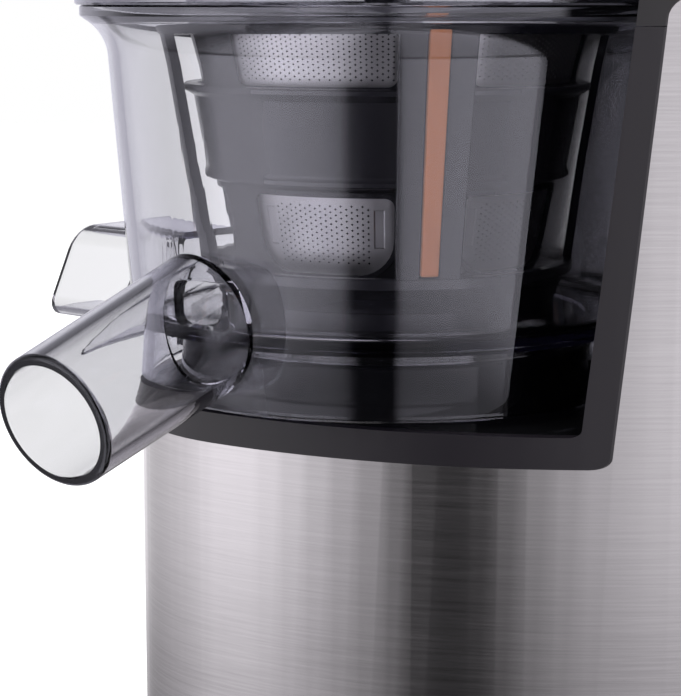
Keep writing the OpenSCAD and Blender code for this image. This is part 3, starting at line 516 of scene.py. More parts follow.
finishes = {
    "brushed_steel": metal("brushedSteel", (0.635, 0.615, 0.63), 0.19, (40, 40, 1900), vary=0.15, bump=0.0),
    "satin_black": plastic("satinBlack", (0.013, 0.011, 0.015), 0.32),
    "gloss_black": plastic("glossBlack", (0.006, 0.006, 0.007), 0.07, bump=0.0,
                           **{"Specular IOR Level": 0.2}),
    "base_black": plastic("baseBlack", (0.028, 0.028, 0.03), 0.55, grain=1600, bump=0.25),
    "smoked_clear": smoked("smokedClear", (0.48, 0.47, 0.57), density=95),
    "strainer_grey": plastic("strainerGrey", (0.016, 0.0155, 0.019), 0.22, bump=0.0),
    "perforated_steel": metal("perforatedSteel", (0.55, 0.54, 0.54), 0.34, (150, 150, 150), vary=0.04,
                              bump=0.0),
    "wiper_grey": plastic("wiperGrey", (0.015, 0.0145, 0.018), 0.25, bump=0.0),
    "silicone_orange": plastic("siliconeOrange", (0.7, 0.24, 0.07), 0.45, bump=0.0),
    "silicone_clear": plastic("siliconeClear", (0.1, 0.1, 0.104)),
    "black_rubber": plastic("blackRubber", (0.022, 0.022, 0.022), 0.7, grain=900, bump=0.3),
    "auger_black": plastic("augerBlack", (0.03, 0.03, 0.034), 0.22),
    "lamination_steel": metal("laminationSteel", (0.35, 0.35, 0.36), 0.45, (40, 40, 2000)),
    "copper_winding": metal("copperWinding", (0.62, 0.28, 0.12), 0.35, (300, 300, 1300), vary=0.3, bump=0.4),
    "machined_steel": metal("machinedSteel", (0.6, 0.6, 0.61), 0.28, (60, 60, 1800)),
    "zinc_metal": metal("zincMetal", (0.55, 0.55, 0.56), 0.45, (500, 500, 500)),
    "bronze": metal("bronze", (0.6, 0.43, 0.2), 0.42, (700, 700, 700)),
    "gear_plastic": plastic("gearPlastic", (0.72, 0.7, 0.63)),
    "gear_case": plastic("gearCase", (0.07, 0.07, 0.078), 0.5, grain=1400, bump=0.2),
    "board_green": plastic("boardGreen", (0.03, 0.16, 0.07), 0.25),
    "knob_black": plastic("knobBlack", (0.035, 0.035, 0.039), 0.42, grain=1800, bump=0.15)}
capBlack = plastic("capBlack", (0.015, 0.0135, 0.016), 0.3)
for part in frame["record"]["subparts"]:
    node = frame["nodes"][part["node"]]
    node.data.materials.clear()
    node.data.materials.append(finishes[part["material_slot"]])


# low, high, knobZ and cordZ are heights above the table, the others count from bowlZ
print("housing")
shell = {"low": 14, "high": 300, "edge": 0.25, "top": 101, "corner": 6, "deck": -2.3, "trim": 7.9,
         "partLine": 93.3, "recessR": 84, "lean": 0.063, "bezelR": 24, "knobZ": 242, "cordR": 9, "cordZ": 34,
         "footR": 2.8, "footOut": 1.7, "topOut": 4.2, "past": 240, "over": 150}
trimLow = shell["deck"] - shell["trim"]
deckLow = shell["deck"] - housing["skin"]
rear = housing["back"] + housing["depth"] / 2


def recessAt(z):
    return shell["recessR"] + shell["lean"] * z


# Solid of the hollow behind the bowl, grown by off, with the rounding of its lower edge
def recessTool(off, low, corner, high):
    profile = ([(0, low)] + arc(recessAt(low + corner) + off - corner, low + corner, corner, -90, 0, 8)
               + [(recessAt(high) + off, high), (0, high)])
    return turn("recess", profile, place=atBowl())


# Solid of the cut-out in the steel, with its rounded upper corner
def steelTool():
    corner, top = shell["corner"], shell["top"]
    profile = ([(0, trimLow)]
               + arc(recessAt(trimLow) + shell["footOut"], trimLow + 3, shell["footR"], -90, 0, 6)
               + arc(recessAt(shell["partLine"]) + shell["topOut"] + corner, top - corner, corner, 180, 90, 8)
               + [(shell["past"], top), (shell["past"], shell["over"]), (0, shell["over"])])
    return turn("steelCut", profile, 160, place=atBowl())


# Rod through the back of the housing
def rearRod(radius, z, reach=20):
    choose()
    bpy.ops.mesh.primitive_cylinder_add(vertices=64, radius=radius * mm, depth=2 * reach * mm,
                                        location=Vector((0, rear, z)) * mm, rotation=(radians(90), 0, 0))
    bpy.ops.object.transform_apply(location=True, rotation=True, scale=True)
    return bpy.context.object


inside, edge = -housing["steel"], shell["edge"]
steel = sweepHousing("steelWrap", [(inside, shell["low"]), (-edge, shell["low"]), (0, shell["low"] + edge),
                                   (0, shell["high"]), (inside, shell["high"])])
combine(steel, steelTool())
combine(steel, rearRod(shell["bezelR"], shell["knobZ"]))
combine(steel, rearRod(shell["cordR"], shell["cordZ"]))
soften(steel, 0.3)
hand(steel, "base", "brushed_steel", "steel_shell")

frameBand = {"in": -3, "out": 0.5, "below": 5, "gap": 0.15}
bandLow, bandHigh = bowlZ + trimLow - frameBand["below"], bowlZ + shell["partLine"] - frameBand["gap"]
trim = sweepHousing("trimFrame", [(frameBand["in"], bandLow), (frameBand["out"], bandLow),
                                  (frameBand["out"], bandHigh), (frameBand["in"], bandHigh)])
combine(trim, steelTool(), "INTERSECT")
combine(trim, recessTool(0, shell["deck"], 2, shell["partLine"] + 3))
soften(trim, 0.7, 3)
hand(trim, "base", "satin_black", "trim_frame")

# Cap of the tower: a rounded solid, hollowed, with the concave wall left standing
cap = {"edge": [(0.4, 93.3), (0.4, 112), (0.2, 115), (-0.5, 117.8), (-2, 120.4), (-4.3, 122.2), (-7.5, 123)],
       "skin": 3, "low": 80, "top": 119, "recess": (-10, 2, 135)}
tower = sweepHousing("towerCap", [(off, bowlZ + z) for off, z in cap["edge"]], closed=False)
combine(tower, steelTool(), "INTERSECT")
combine(tower, recessTool(0, *cap["recess"]))
hollow = sweepHousing("capHollow", [(-cap["skin"], bowlZ + cap["low"]), (-cap["skin"], bowlZ + cap["top"])],
                      closed=False)
combine(hollow, recessTool(cap["skin"], *cap["recess"]))
combine(tower, hollow)
soften(tower, 0.5, 3)
hand(tower, "base", "gloss_black", "tower_cap", finish=capBlack)


def post(x, y, radius, z0, z1):
    return turn("post", [(0, z0), (radius, z0), (radius, z1), (0, z1)], 24, place=shift(x, y, 0))


# Inner housing: deck, raised seat of the bowl with the slot for the pulp duct, concave wall and screw posts.
# One solid is cut down to deck and wall: joined ones would share faces, and then a boolean can fail
seat = {"r": 54.5, "wall": 2.5, "back": 2.5, "hub": 8, "under": (13, -20, 9.5),
        "edge": [(0, 10.8), (-0.4, 11.6), (-1.2, 12)],
        "slotDir": 232, "slotBlock": ((42, 37, 17), (32, 0, 3.4)), "slot": ((66, 32, 14), (47, 0, 7)),
        "shaft": [(0, -30), (10, -30), (10, 6), (9.5, 6), (9.5, 20), (0, 20)], "postR": 5,
        "posts": [(-52, 10), (52, 10), (-34, 119), (34, 119)], "postLow": 24,
        "ears": [(-40, 0), (40, 0), (41.5, 54), (-19.5, 62)], "earLow": 156}
skin, wallTop = -housing["skin"], shell["partLine"] + 3
inner = sweepHousing("inner", [(skin, bowlZ + deckLow), (skin, bowlZ + shell["partLine"])], closed=False)
combine(inner, recessTool(0, shell["deck"], 2, wallTop))
combine(inner, turn("behind", [(recessAt(shell["deck"]) + seat["back"], shell["deck"]),
                               (shell["past"], shell["deck"]), (shell["past"], wallTop),
                               (recessAt(wallTop) + seat["back"], wallTop)], place=atBowl()))
seatProfile = ([(seat["hub"], deckLow + 0.5), (seat["r"], deckLow + 0.5)]
               + [(seat["r"] + off, z) for off, z in seat["edge"]] + [(seat["hub"], seat["edge"][-1][1])])
combine(inner, turn("seat", seatProfile, place=atBowl()), "UNION")
hubR, low, high = seat["under"]
seatIn = seat["r"] - seat["wall"]
combine(inner, turn("under", [(hubR, low), (seatIn, low), (seatIn, high), (hubR, high)], 96, place=atBowl()))
for name, operation in (("slotBlock", "UNION"), ("slot", "DIFFERENCE")):
    size, place = seat[name]
    combine(inner, bar(name, size, 0, atBowl(turnZ=seat["slotDir"]) @ shift(*place)), operation)
combine(inner, turn("shaftHole", seat["shaft"], 64, place=atBowl()))
soften(inner, 0.5)
posts = [post(x, y, seat["postR"], seat["postLow"], bowlZ + deckLow + 1) for x, y in seat["posts"]]
posts += [post(x, y, seat["postR"], seat["earLow"], bowlZ + deckLow + 1) for x, y in seat["ears"]]
inner = join([inner] + posts, "innerHousing")
hand(inner, "base", "gloss_black", "inner_housing")

# Base plate: a rim, a floor with air slots under the motor, legs for the motor's studs and the screw posts
base = {"rim": [(-4.5, 22), (-4.5, 4), (-2, 4), (-0.6, 4.6), (0.1, 6), (0.3, 8), (0.3, 13.6), (-0.1, 14),
                (-1.2, 14), (-1.2, 22)],
        "floor": [(-4, 4), (-4, 7)], "vent": (3, 26, 8), "ventR": 1.4, "ventZ": 6, "ventPitch": 7, "vents": 9,
        "motorY": 66, "studR": 46, "studs": (45, 135, 225, 315), "legR": 6, "legs": (6, 38), "postR": 6.5}
plinth = sweepHousing("plinth", base["rim"])
plate = sweepHousing("plate", base["floor"], closed=False)
for i in range(base["vents"]):
    place = shift((i - base["vents"] // 2) * base["ventPitch"], base["motorY"], base["ventZ"])
    combine(plate, bar("vent", base["vent"], base["ventR"], place @ tip(90, "Y")))
legs = [post(base["studR"] * cos(radians(a)), base["motorY"] + base["studR"] * sin(radians(a)), base["legR"],
             *base["legs"]) for a in base["studs"]]
legs += [post(x, y, base["postR"], base["legs"][0], seat["postLow"]) for x, y in seat["posts"]]
plinth = join([plinth, plate] + legs, "basePlate")
hand(plinth, "base", "base_black", "base_plate")


# From here on heights count from bowlZ
print("bowl")
bowl = {"r": 66, "flare": 0.0785, "wall": 2.8, "floor": 19, "floorT": 3, "flareZ": 84, "flareR": 12,
        "hub": 11, "steps": 160, "core": (-30, 70),
        "rim": [(79.8, 95.3), (79.8, 97.5), (79.3, 98), (77.2, 98), (76.7, 97.5)]}
spout = {"at": -42, "aim": -33, "drop": 16, "z": 20.5, "len": 54, "rootR": 18.1, "mouthR": 16.4,
         "wall": 2.7, "back": 22, "lip": 1.3, "flare": 0.7, "window": (16, 20, 11.5), "windowR": 3,
         "windowAt": (62, 0, 25.5)}
chute = {"aim": 232, "reach": 117, "root": 50, "wide": 34, "low": 6, "high": 34, "corner": 7, "wall": 2,
         "slant": -27, "slantBlock": ((30, 60, 90), (15, 0, 20)), "duct": (15, 70, 28, 1.5),
         "ductHollow": (17, 68, 24, 4), "cleanOut": (28, 46, 18, 0, 5), "inletHole": (15.5, 34, 18)}


def bowlAt(z):
    return bowl["r"] + bowl["flare"] * z


# Solid inside the bowl's outer face, to stop the spout and the chute at its wall
def bowlCore(grow):
    low, high = bowl["core"]
    return turn("core", [(0, low), (bowlAt(low) + grow, low), (bowlAt(high) + grow, high), (0, high)],
                bowl["steps"], place=atBowl())


floorLow = bowl["floor"] - bowl["floorT"]
flareC = bowlAt(bowl["flareZ"]) + bowl["flareR"]
inR = bowlAt(bowl["floor"]) - bowl["wall"]
bowlProfile = (
    [(bowl["hub"], floorLow - 3), (14, floorLow - 3), (14, floorLow), (50, floorLow), (50, 12.1), (53, 12.1),
     (53, floorLow), (bowlAt(floorLow) - bowl["wall"], floorLow)]
    + [(63.2, 0.6), (63.8, 0), (65.4, 0), (66, 0.6)]
    + arc(flareC, bowl["flareZ"], bowl["flareR"], 180, 120, 10) + bowl["rim"]
    + arc(flareC, bowl["flareZ"], bowl["flareR"] + bowl["wall"], 126, 180, 10)
    + arc(inR - 3, bowl["floor"] + 3, 3, 0, -90, 6) + [(bowl["hub"], bowl["floor"])])
clear = turn("juicingBowl", bowlProfile, bowl["steps"], place=atBowl())

atSpout = (atBowl(turnZ=spout["at"]) @ shift(bowlAt(spout["z"]), 0, spout["z"])
           @ tip(spout["aim"] - spout["at"], "Z") @ tip(90 + spout["drop"], "Y"))
back, lip, end = spout["back"], spout["lip"], spout["len"]
tube = turn("tube", [(0, -back), (spout["rootR"], -back), (spout["mouthR"], end - lip - 0.1)]
            + arc(spout["mouthR"] - lip, end - lip, lip, 0, 90, 6) + [(0, end)], 96, place=atSpout)
combine(tube, bowlCore(-0.4))
combine(clear, tube, "UNION")

atChute = atBowl(turnZ=chute["aim"])


def chuteBlock(name, inset, x1, corner):
    x0 = chute["root"]
    return bar(name, (x1 - x0, chute["wide"] - 2 * inset, chute["high"] - chute["low"] - 2 * inset), corner,
               atChute @ shift((x0 + x1) / 2, 0, (chute["low"] + chute["high"]) / 2), 6)


def chuteBox(x0, x1, wide, z0, z1):
    return bar("box", (x1 - x0, wide, z1 - z0), 0, atChute @ shift((x0 + x1) / 2, 0, (z0 + z1) / 2))


box = chuteBlock("chute", 0, chute["reach"], chute["corner"])
size, place = chute["slantBlock"]
combine(box, bar("slant", size, 0, atChute @ shift(chute["reach"], 0, chute["low"])
                 @ tip(chute["slant"], "Y") @ shift(*place)))
combine(box, bowlCore(-0.4))
combine(clear, box, "UNION")
combine(clear, chuteBox(*chute["duct"], floorLow + 1), "UNION")

boreR = spout["mouthR"] - spout["wall"]
bore = turn("bore", [(0, -back - 0.5), (spout["rootR"] - spout["wall"], -back - 0.5), (boreR, end - 1),
                     (boreR + spout["flare"], end + 1), (0, end + 1)], 96, place=atSpout)
combine(bore, bowlCore(0.05))
combine(clear, bore)
combine(clear, bar("window", spout["window"], spout["windowR"],
                   atBowl(turnZ=spout["at"]) @ shift(*spout["windowAt"]), 4))
hollow = chuteBlock("hollow", chute["wall"], chute["reach"] + 1, chute["corner"] - chute["wall"])
combine(hollow, bowlCore(0.05))
combine(clear, hollow)
combine(clear, chuteBox(*chute["ductHollow"], floorLow - 0.03))
combine(clear, chuteBox(*chute["cleanOut"]))
combine(clear, chuteBox(*chute["inletHole"], floorLow - 1, bowl["floor"] + 1))
hand(clear, "bowl", "smoked_clear", "juicing_bowl", "juice_spout", "pulp_chute", smooth=35)

print("lid")
cover = {"profile": [(0, 108), (6.05, 108), (6.05, 99), (9.5, 99), (9.5, 111), (30, 110.8), (50, 109.4),
                     (50, 97.5), (52.5, 97.5), (52.5, 109), (71, 105.4), (73, 104), (73, 95.4), (73.2, 95.2),
                     (74, 95.2), (74, 98), (80.5, 98), (81, 98.5), (81, 103.5), (80.6, 104.5), (79.5, 105.5),
                     (76, 107), (72, 108), (55, 111.5), (30, 113.5), (0, 114)],
         "lug": ((26, 11.5, 7.5), (0, 82.75, 102.75)), "pocket": ((12, 6, 4.5), (0, 87.5, 102.75))}
feed = {"y": -29, "r": 19.5, "wall": 3, "top": 218, "flare": 9, "flareAt": (20, 40, 60, 75, 88),
        "outer": (105, 15, 14.6, 11.6), "inner": (90, 13, 12.9, 10.2)}
atFeed = atBowl(0, feed["y"])


# Solid of the feed tube up to height top, whose upper end opens like a trumpet
def feedTube(name, r, flare, ends, top):
    low, below, rise, mouth = ends
    bend = feed["top"] - below
    profile = [(0, low), (r, low), (r, bend)]
    for a in feed["flareAt"]:
        profile.append((r + flare * (1 - cos(radians(a))), bend + rise * sin(radians(a))))
    return turn(name, profile + [(feed["r"] + mouth, top), (0, top)], 96, place=atFeed)


lid = turn("lid", cover["profile"], 144, place=atBowl())
combine(lid, feedTube("neck", feed["r"] + feed["wall"], feed["flare"], feed["outer"], feed["top"]), "UNION")
for name, operation in (("lug", "UNION"), ("pocket", "DIFFERENCE")):
    size, place = cover[name]
    combine(lid, bar(name, size, 0, atBowl() @ shift(*place)), operation)
combine(lid, feedTube("throat", feed["r"], feed["flare"] + 1, feed["inner"], feed["top"] + 1))
hand(lid, "lid", "smoked_clear", "lid", smooth=35)

press = turn("pusher", [
    (0, 106), (16.5, 106), (16.9, 106.4), (16.9, 112), (18.4, 112), (18.9, 112.5), (18.9, 217.95), (33, 218),
    (33.5, 218.5), (33.5, 222.4), (33.2, 223.4), (31.2, 226.2), (30, 227), (17.4, 227), (16.8, 226.7),
    (16.5, 226), (16.5, 119), (15.5, 118), (0, 118)], 96, place=atFeed)
hand(press, "pusher", "satin_black", "pusher")

print("strainer")
strain = {"r": 41, "flare": 0.19, "wall": 2.5, "upperLip": 77.5, "lowerLip": 55, "band": 1.9,
          "low": (78.6, 32.2), "high": (94, 51.6), "cornerR": 2.2, "footR": (2.2, 8.5), "windowA": 51.5,
          "pitch": 72, "first": -21.4, "windows": 5, "reach": ((36, 62), (30, 56)), "rimWide": 1.2,
          "rimHigh": 0.45, "hub": 12.5, "rib": 1.6,
          "duct": (15, 34.5, 19.6, 19, 29.1), "ductFoot": (16, 33.5, 17.6, 16.5, 20),
          "ductHole": (17.5, 32, 14.6, 15, 32)}
sheet = {"holeR": 0.44, "column": 1.32, "row": 0.75, "thick": 0.35, "into": 1.5, "sunk": 1,
         "holes": ((-22.8, 25.3, 79.6, 93.6), (-16.8, 16.8, 35.0, 50.0)),
         "slot": (12.9, 16.2, 38.6, 48.6), "slotEdge": 0.3, "slotDepth": 0.25}


def strainAt(z):
    return strain["r"] + strain["flare"] * (z - 34)


# Profile along a cone: points of (height that gives the cone's radius, distance off it, height)
def cone(radiusAt, points):
    return [(radiusAt(z0) + off, z) for z0, off, z in points]


# Outline of one row's window; its sides follow the cone
def windowPlan(row, grow):
    z0, z1 = strain["low"][row] - grow, strain["high"][row] + grow
    half = [(strainAt(z) - sheet["sunk"]) * sin(radians(strain["windowA"] / 2)) + grow for z in (z0, z1)]
    w, h, r1, r0 = sum(half) / 2, (z1 - z0) / 2, strain["cornerR"] + grow, strain["footR"][row] + grow
    lean = (half[1] - half[0]) / (2 * h * w)
    corners = (arc(w - r1, h - r1, r1, 0, 90, 5) + arc(r1 - w, h - r1, r1, 90, 180, 5)
               + arc(r0 - w, r0 - h, r0, 180, 270, 7) + arc(w - r0, r0 - h, r0, 270, 360, 7))
    return [(x * (1 + lean * z), z + (z0 + z1) / 2) for x, z in corners]


def windowTools(row, grow=0.0):
    x0, x1 = strain["reach"][row]
    across = shift((x0 + x1) / 2, 0, 0) @ tip(90, "Z")
    return join([slab("window", windowPlan(row, grow), x1 - x0,
                      atBowl(turnZ=strain["first"] + i * strain["pitch"]) @ across)
                 for i in range(strain["windows"])], "windows")


wall, proud, rimHigh = strain["wall"], strain["band"], strain["rimHigh"]
outer = cone(strainAt, [
    (28.6, -1.5, 28.6), (32, 0, 32), (53, 0, 53), (55, 2.6, 54.1), (55, 3, 54.5), (55, 3, 55.5),
    (55, 2.7, 55.9), (58, proud, 57), (74.5, proud, 75), (77.5, 3.6, 76.3), (77.5, 4, 76.8), (77.5, 4, 77.8),
    (77.5, 3.6, 78.15), (78.5, 0, 78.3), (94, 0, 94), (94, 0.9, 94.3), (94, 1.2, 94.6), (94, 1.2, 96.8),
    (94, 0.8, 97.2), (97.2, -wall, 97.2), (33, -wall, 33), (31, -wall - 1, 31.2)])
basket = turn("strainerFrame", [(strain["hub"], 28.6)] + outer + [(strain["hub"], 31.2)], 160, place=atBowl())
rims = windowTools(1, strain["rimWide"])
rimProfile = cone(strainAt, [(29, -1, 29), (29, rimHigh, 29), (53.4, rimHigh, 53.4), (53.4, -1, 53.4)])
combine(rims, turn("skin", rimProfile, 160, place=atBowl()), "INTERSECT")
combine(basket, rims, "UNION")
combine(basket, chuteBox(*strain["duct"]), "UNION")
combine(basket, chuteBox(*strain["ductFoot"]), "UNION")
for row in (0, 1):
    combine(basket, windowTools(row))
combine(basket, chuteBox(*strain["ductHole"]))
soften(basket, 0.25)
ribProfile = cone(strainAt, [(36, -3.3, 36), (36, -1, 36), (94, -1, 94), (94, -3.3, 94)])
ribs = [slab("rib", ribProfile, strain["rib"], atBowl(turnZ=strain["first"] + (i + 0.5) * strain["pitch"]))
        for i in range(strain["windows"])]
basket = join([basket] + ribs, "strainerFrame")
hand(basket, "bowl", "strainer_grey", "strainer_frame")


# Perforated sheets of one row of windows: a flat grid whose staggered corners are rounded off into holes,
# then made thick, bent round the axis, tapered to the cone and copied
def perforated(row):
    column, pitch, holeR = sheet["column"], sheet["row"], sheet["holeR"] * mm
    z0, z1 = strain["low"][row] - sheet["into"], strain["high"][row] + sheet["into"]
    mid = (z0 + z1) / 2
    radius = strainAt(mid) - sheet["sunk"]
    perDegree = radians(1) * radius
    columns = 2 * round((strain["windowA"] / 2 * perDegree + sheet["into"]) / column)
    rows = 2 * round((z1 - z0) / pitch / 2)
    width, height = columns * column, rows * pitch
    a0, a1, low, high = sheet["holes"][row]
    choose()
    bpy.ops.mesh.primitive_grid_add(x_subdivisions=columns, y_subdivisions=rows, size=1,
                                    rotation=(radians(90), 0, 0))
    piece = bpy.context.object
    piece.scale = (width * mm, height * mm, 1)
    bpy.ops.object.transform_apply(location=True, rotation=True, scale=True)
    bpy.ops.object.mode_set(mode="EDIT")
    bpy.ops.mesh.select_mode(type="VERT")

    def holed(vert):
        x, z = vert.co.x / mm, vert.co.z / mm
        even = (round(x / column) + round(z / pitch)) % 2 == 0
        return even and a0 * perDegree < x < a1 * perDegree and low - mid < z < high - mid

    def slotted(face):
        x, z = face.calc_center_median().x / mm, face.calc_center_median().z / mm
        x0, x1, s0, s1 = sheet["slot"]
        return face.normal.y < -0.9 and x0 < abs(x) < x1 and s0 - mid < z < s1 - mid

    pick(piece, "verts", holed)
    bpy.ops.mesh.bevel(offset=holeR, offset_type="OFFSET", segments=3, affect="VERTICES", profile=0.5)
    bpy.ops.mesh.select_mode(type="FACE")
    pick(piece, "faces", lambda f: f.calc_area() < 3.3 * holeR ** 2)
    bpy.ops.mesh.delete(type="FACE")
    objectMode()
    modifier = piece.modifiers.new("thick", "SOLIDIFY")
    modifier.thickness, modifier.offset = sheet["thick"] * mm, -1
    applyAll(piece)
    if row:
        bpy.ops.object.mode_set(mode="EDIT")
        pick(piece, "faces", slotted)
        bpy.ops.mesh.inset(thickness=sheet["slotEdge"] * mm, depth=-sheet["slotDepth"] * mm)
        objectMode()
    modifier = piece.modifiers.new("bend", "SIMPLE_DEFORM")
    modifier.deform_method, modifier.deform_axis, modifier.angle = "BEND", "Z", width / radius
    applyAll(piece)
    settle(piece, shift(0, -radius, 0))
    modifier = piece.modifiers.new("taper", "SIMPLE_DEFORM")
    modifier.deform_method, modifier.deform_axis = "TAPER", "Z"
    modifier.factor = strain["flare"] * height / radius
    applyAll(piece)
    settle(piece, atBowl(z=mid, turnZ=90 + strain["first"]))
    copies = [piece]
    for i in range(1, strain["windows"]):
        choose(piece)
        bpy.ops.object.duplicate()
        copy = bpy.context.object
        settle(copy, tip(i * strain["pitch"], "Z"))
        copies.append(copy)
    return copies


panels = join(perforated(0) + perforated(1), "strainerMesh")
hand(panels, "bowl", "perforated_steel", "strainer_mesh")

print("wiper")
wipe = {"r": 50, "flare": 0.165, "thick": 2.4, "band": 0.4, "slot": (33, 94.5), "blades": (13, 193),
        "wide": 19, "slotWide": 5.2, "proud": 0.8, "finThick": 1.6, "finGap": 0.6, "gearLow": 19.7,
        "gearHigh": 27, "plainStart": 70, "plainSweep": 40,
        "teeth": 48, "toothAt": 5.0, "tooth": [(40.6, 1.9), (40.4, 1.88), (38.4, 1.16), (37.04, 0.67)],
        "plain": [(12.5, 30), (10.6, 38), (8.6, 47), (7, 58), (7, 95)]}


def wipeAt(z):
    return wipe["r"] + wipe["flare"] * (z - 37)


thin, band, slotW = wipe["thick"], wipe["band"], wipe["slotWide"]
slotLow, slotHigh = wipe["slot"]
footProfile = [(40.4, 19.7), (41.5, 19.7), (41.5, 19), (44.6, 19), (44.6, 23.2), (45.3, 23.5), (45.6, 25.2)]
footProfile += cone(wipeAt, [(30, -1.4, 28.4), (30, -0.9, 28.7), (30, band, 29.8), (31, band, 32.1),
                             (31, 0.1, 32.5), (31, -thin, 32.5), (30, -thin - band, 30)])
foot = turn("wiperFoot", footProfile + [(42.4, 27), (40.4, 27)], 144, place=atBowl())
crown = turn("wiperCrown", cone(wipeAt, [
    (93, -thin - band, 93), (93, 0.1, 93), (93, band, 93.3), (97, 0.6, 96), (97, 0.2, 96.9), (97, -0.1, 97),
    (97, -thin - 1, 97)]), 144, place=atBowl())
strutProfile = cone(wipeAt, [(31, -thin, 31), (31, 0, 31), (94, 0, 94), (94, -thin, 94)])
plainSide = wipe["plain"]
wedge = [(-plainSide[0][0], plainSide[0][1])] + plainSide + [(-x, z) for x, z in plainSide[:0:-1]]
slotProfile = [(44, 90), (70, 90), (70, slotHigh), (44, slotHigh)]
sideW = (wipe["wide"] - slotW) / 2
struts = []
for aim in wipe["blades"]:
    combine(crown, turn("slot", slotProfile, 4, slotW, aim - slotW / 2, place=atBowl()))
    for start in (aim - wipe["wide"] / 2, aim + slotW / 2):
        struts.append(turn("strut", strutProfile, 6, sideW, start, place=atBowl()))
    plain = turn("plainStrut", strutProfile, 14, wipe["plainSweep"], aim + wipe["plainStart"], place=atBowl())
    place = atBowl(turnZ=aim + 90) @ shift(wipe["r"], 0, 0) @ tip(90, "Z")
    combine(plain, slab("wedge", wedge, 40, place), "INTERSECT")
    struts.append(plain)
for piece in struts:
    soften(piece, 0.5, 3)
tooth = slab("teeth", wipe["tooth"] + [(r, -side) for r, side in reversed(wipe["tooth"])],
             wipe["gearHigh"] - wipe["gearLow"],
             atBowl(z=(wipe["gearHigh"] + wipe["gearLow"]) / 2, turnZ=wipe["toothAt"]) @ tip(90, "X"))
bpy.ops.object.mode_set(mode="EDIT")
bpy.ops.mesh.select_all(action="SELECT")
bpy.ops.mesh.spin(steps=wipe["teeth"] - 1, angle=2 * pi * (1 - 1 / wipe["teeth"]), dupli=True,
                  center=(0, 0, 0), axis=(0, 0, -1))
objectMode()
wiper = join([foot, crown, tooth] + struts, "wiperFrame")
hand(wiper, "wiper", "wiper_grey", "wiper_frame")

# Each blade: a strip in the frame's slot and a fin that reaches in to the strainer, past its two lips
gap, finTop = wipe["finGap"], 93.4
upper, lower = strain["upperLip"], strain["lowerLip"]
stripProfile = cone(wipeAt, [(slotLow, -thin, slotLow), (slotLow, wipe["proud"], slotLow),
                             (slotHigh, wipe["proud"], slotHigh), (slotHigh, -thin, slotHigh)])
finProfile = (cone(strainAt, [(35, gap, 35)])
              + cone(wipeAt, [(35, -thin + 0.3, 35), (finTop, -thin + 0.3, finTop)])
              + cone(strainAt, [(finTop, gap, finTop), (upper + 1.5, gap, upper + 1.5),
                                (upper + 1.5, 3.3, upper + 1.3)])
              + cone(wipeAt, [(upper, -thin + 0.2, upper + 1.3), (lower, -thin + 0.2, lower - 2.3)])
              + cone(strainAt, [(lower - 3, gap, lower - 3)]))
lips = []
for aim in wipe["blades"]:
    strip = turn("bladeStrip", stripProfile, 4, slotW - 0.2, aim - slotW / 2 + 0.1, place=atBowl())
    soften(strip, 0.5, 3)
    lips += [strip, slab("bladeFin", finProfile, wipe["finThick"], atBowl(turnZ=aim))]
lips = join(lips, "wiperBlades")
hand(lips, "wiper", "silicone_orange", "wiper_blades")

# Heights count from the table again
print("rear fittings")
dial = {"hub": 8.05, "grip": (8, 36, 10), "gripR": 1.6, "sunk": 4, "groove": (3, 1.6, 12), "grooveTop": 17.5,
        "switch": (26, 20.5, 26), "switchY": -23.75}


# Piece turned about an axis along y: a profile of (radius, distance behind the housing's rear)
def rearTurn(name, profile, z, steps=96):
    return turn(name, profile, steps, place=shift(0, rear, z) @ tip(-90, "X"))


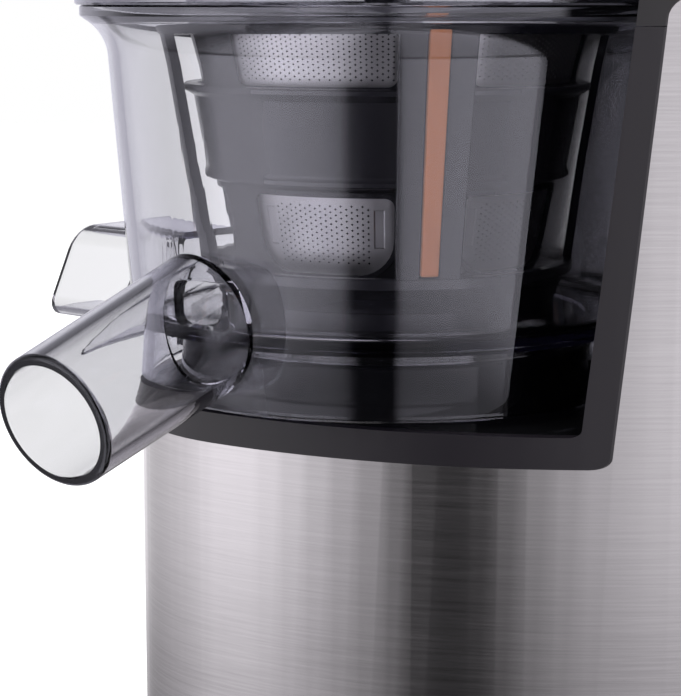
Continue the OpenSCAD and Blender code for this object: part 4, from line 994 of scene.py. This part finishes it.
bezel = rearTurn("selectorBezel", [
    (0, -14), (23.6, -14), (24, -13.6), (24, 0.9), (23.8, 1.3), (23.4, 1.5), (22.1, 1.5), (21.7, 1.3),
    (21.5, 0.9), (21.5, -9), (8, -9), (8, -6.3), (7.7, -6), (0, -6)], shell["knobZ"])
switchBody = bar("switchBody", dial["switch"], 1.2, shift(0, rear + dial["switchY"], shell["knobZ"]), 3, True)
bezel = join([bezel, switchBody], "selectorSwitch")
hand(bezel, "base", "satin_black", "selector_switch")

knob = rearTurn("selectorKnob", [
    (0, -5), (dial["hub"], -5), (dial["hub"], -8), (19.6, -8), (20, -7.6), (20, 3.7), (19.7, 4.35),
    (19.2, 4.9), (18.7, 5.35), (18.2, 5.5), (0, 5.5)], shell["knobZ"])
wide, tall, high = dial["grip"]
sunk = dial["sunk"]
grip = bar("grip", (high + sunk, wide, tall), dial["gripR"],
           shift(0, rear + sunk + (high - sunk) / 2, shell["knobZ"]) @ tip(90, "Z"), 4)
soften(grip, 1.0, 3)
combine(knob, grip, "UNION")
grooveZ = shell["knobZ"] + dial["grooveTop"] - dial["groove"][2] / 2
combine(knob, bar("groove", dial["groove"], 0.5, shift(0, rear + sunk + high, grooveZ) @ tip(90, "Z"), 3))
soften(knob, 0.25)
hand(knob, "knob", "knob_black", "selector_knob")

inlet = rearTurn("cordInlet", [
    (3.75, -8.5), (shell["cordR"], -8.5), (shell["cordR"], 0.5), (11, 0.5), (11.1, 1.1), (10.3, 2.2),
    (10, 2.9), (9.1, 3.2), (9.1, 3.9), (9.6, 4.3), (9.4, 4.9), (8.3, 5.2), (8.2, 5.9), (8.3, 6.2), (7.9, 6.5),
    (4.1, 6.5), (3.75, 6.2)], shell["cordZ"], 64)
hand(inlet, "base", "black_rubber", "cord_inlet")

ringFoot = sweepHousing("footRing", [
    (-3, 4), (-3, 0.8), (-3.4, 0.2), (-4, 0), (-5, 0), (-5.4, 0.5), (-6.6, 0.5), (-7, 0), (-8, 0),
    (-8.6, 0.2), (-9, 0.8), (-9, 4)])
hand(ringFoot, "base", "black_rubber", "foot_ring")

# The outer pieces mirror the steel's tent, all others the bowl's
outside = [steel, trim, tower, plinth, bezel, knob, inlet, ringFoot]
lightFor(boxTent, "EXCLUDE", outside)
lightFor(steelTent, "INCLUDE", outside)
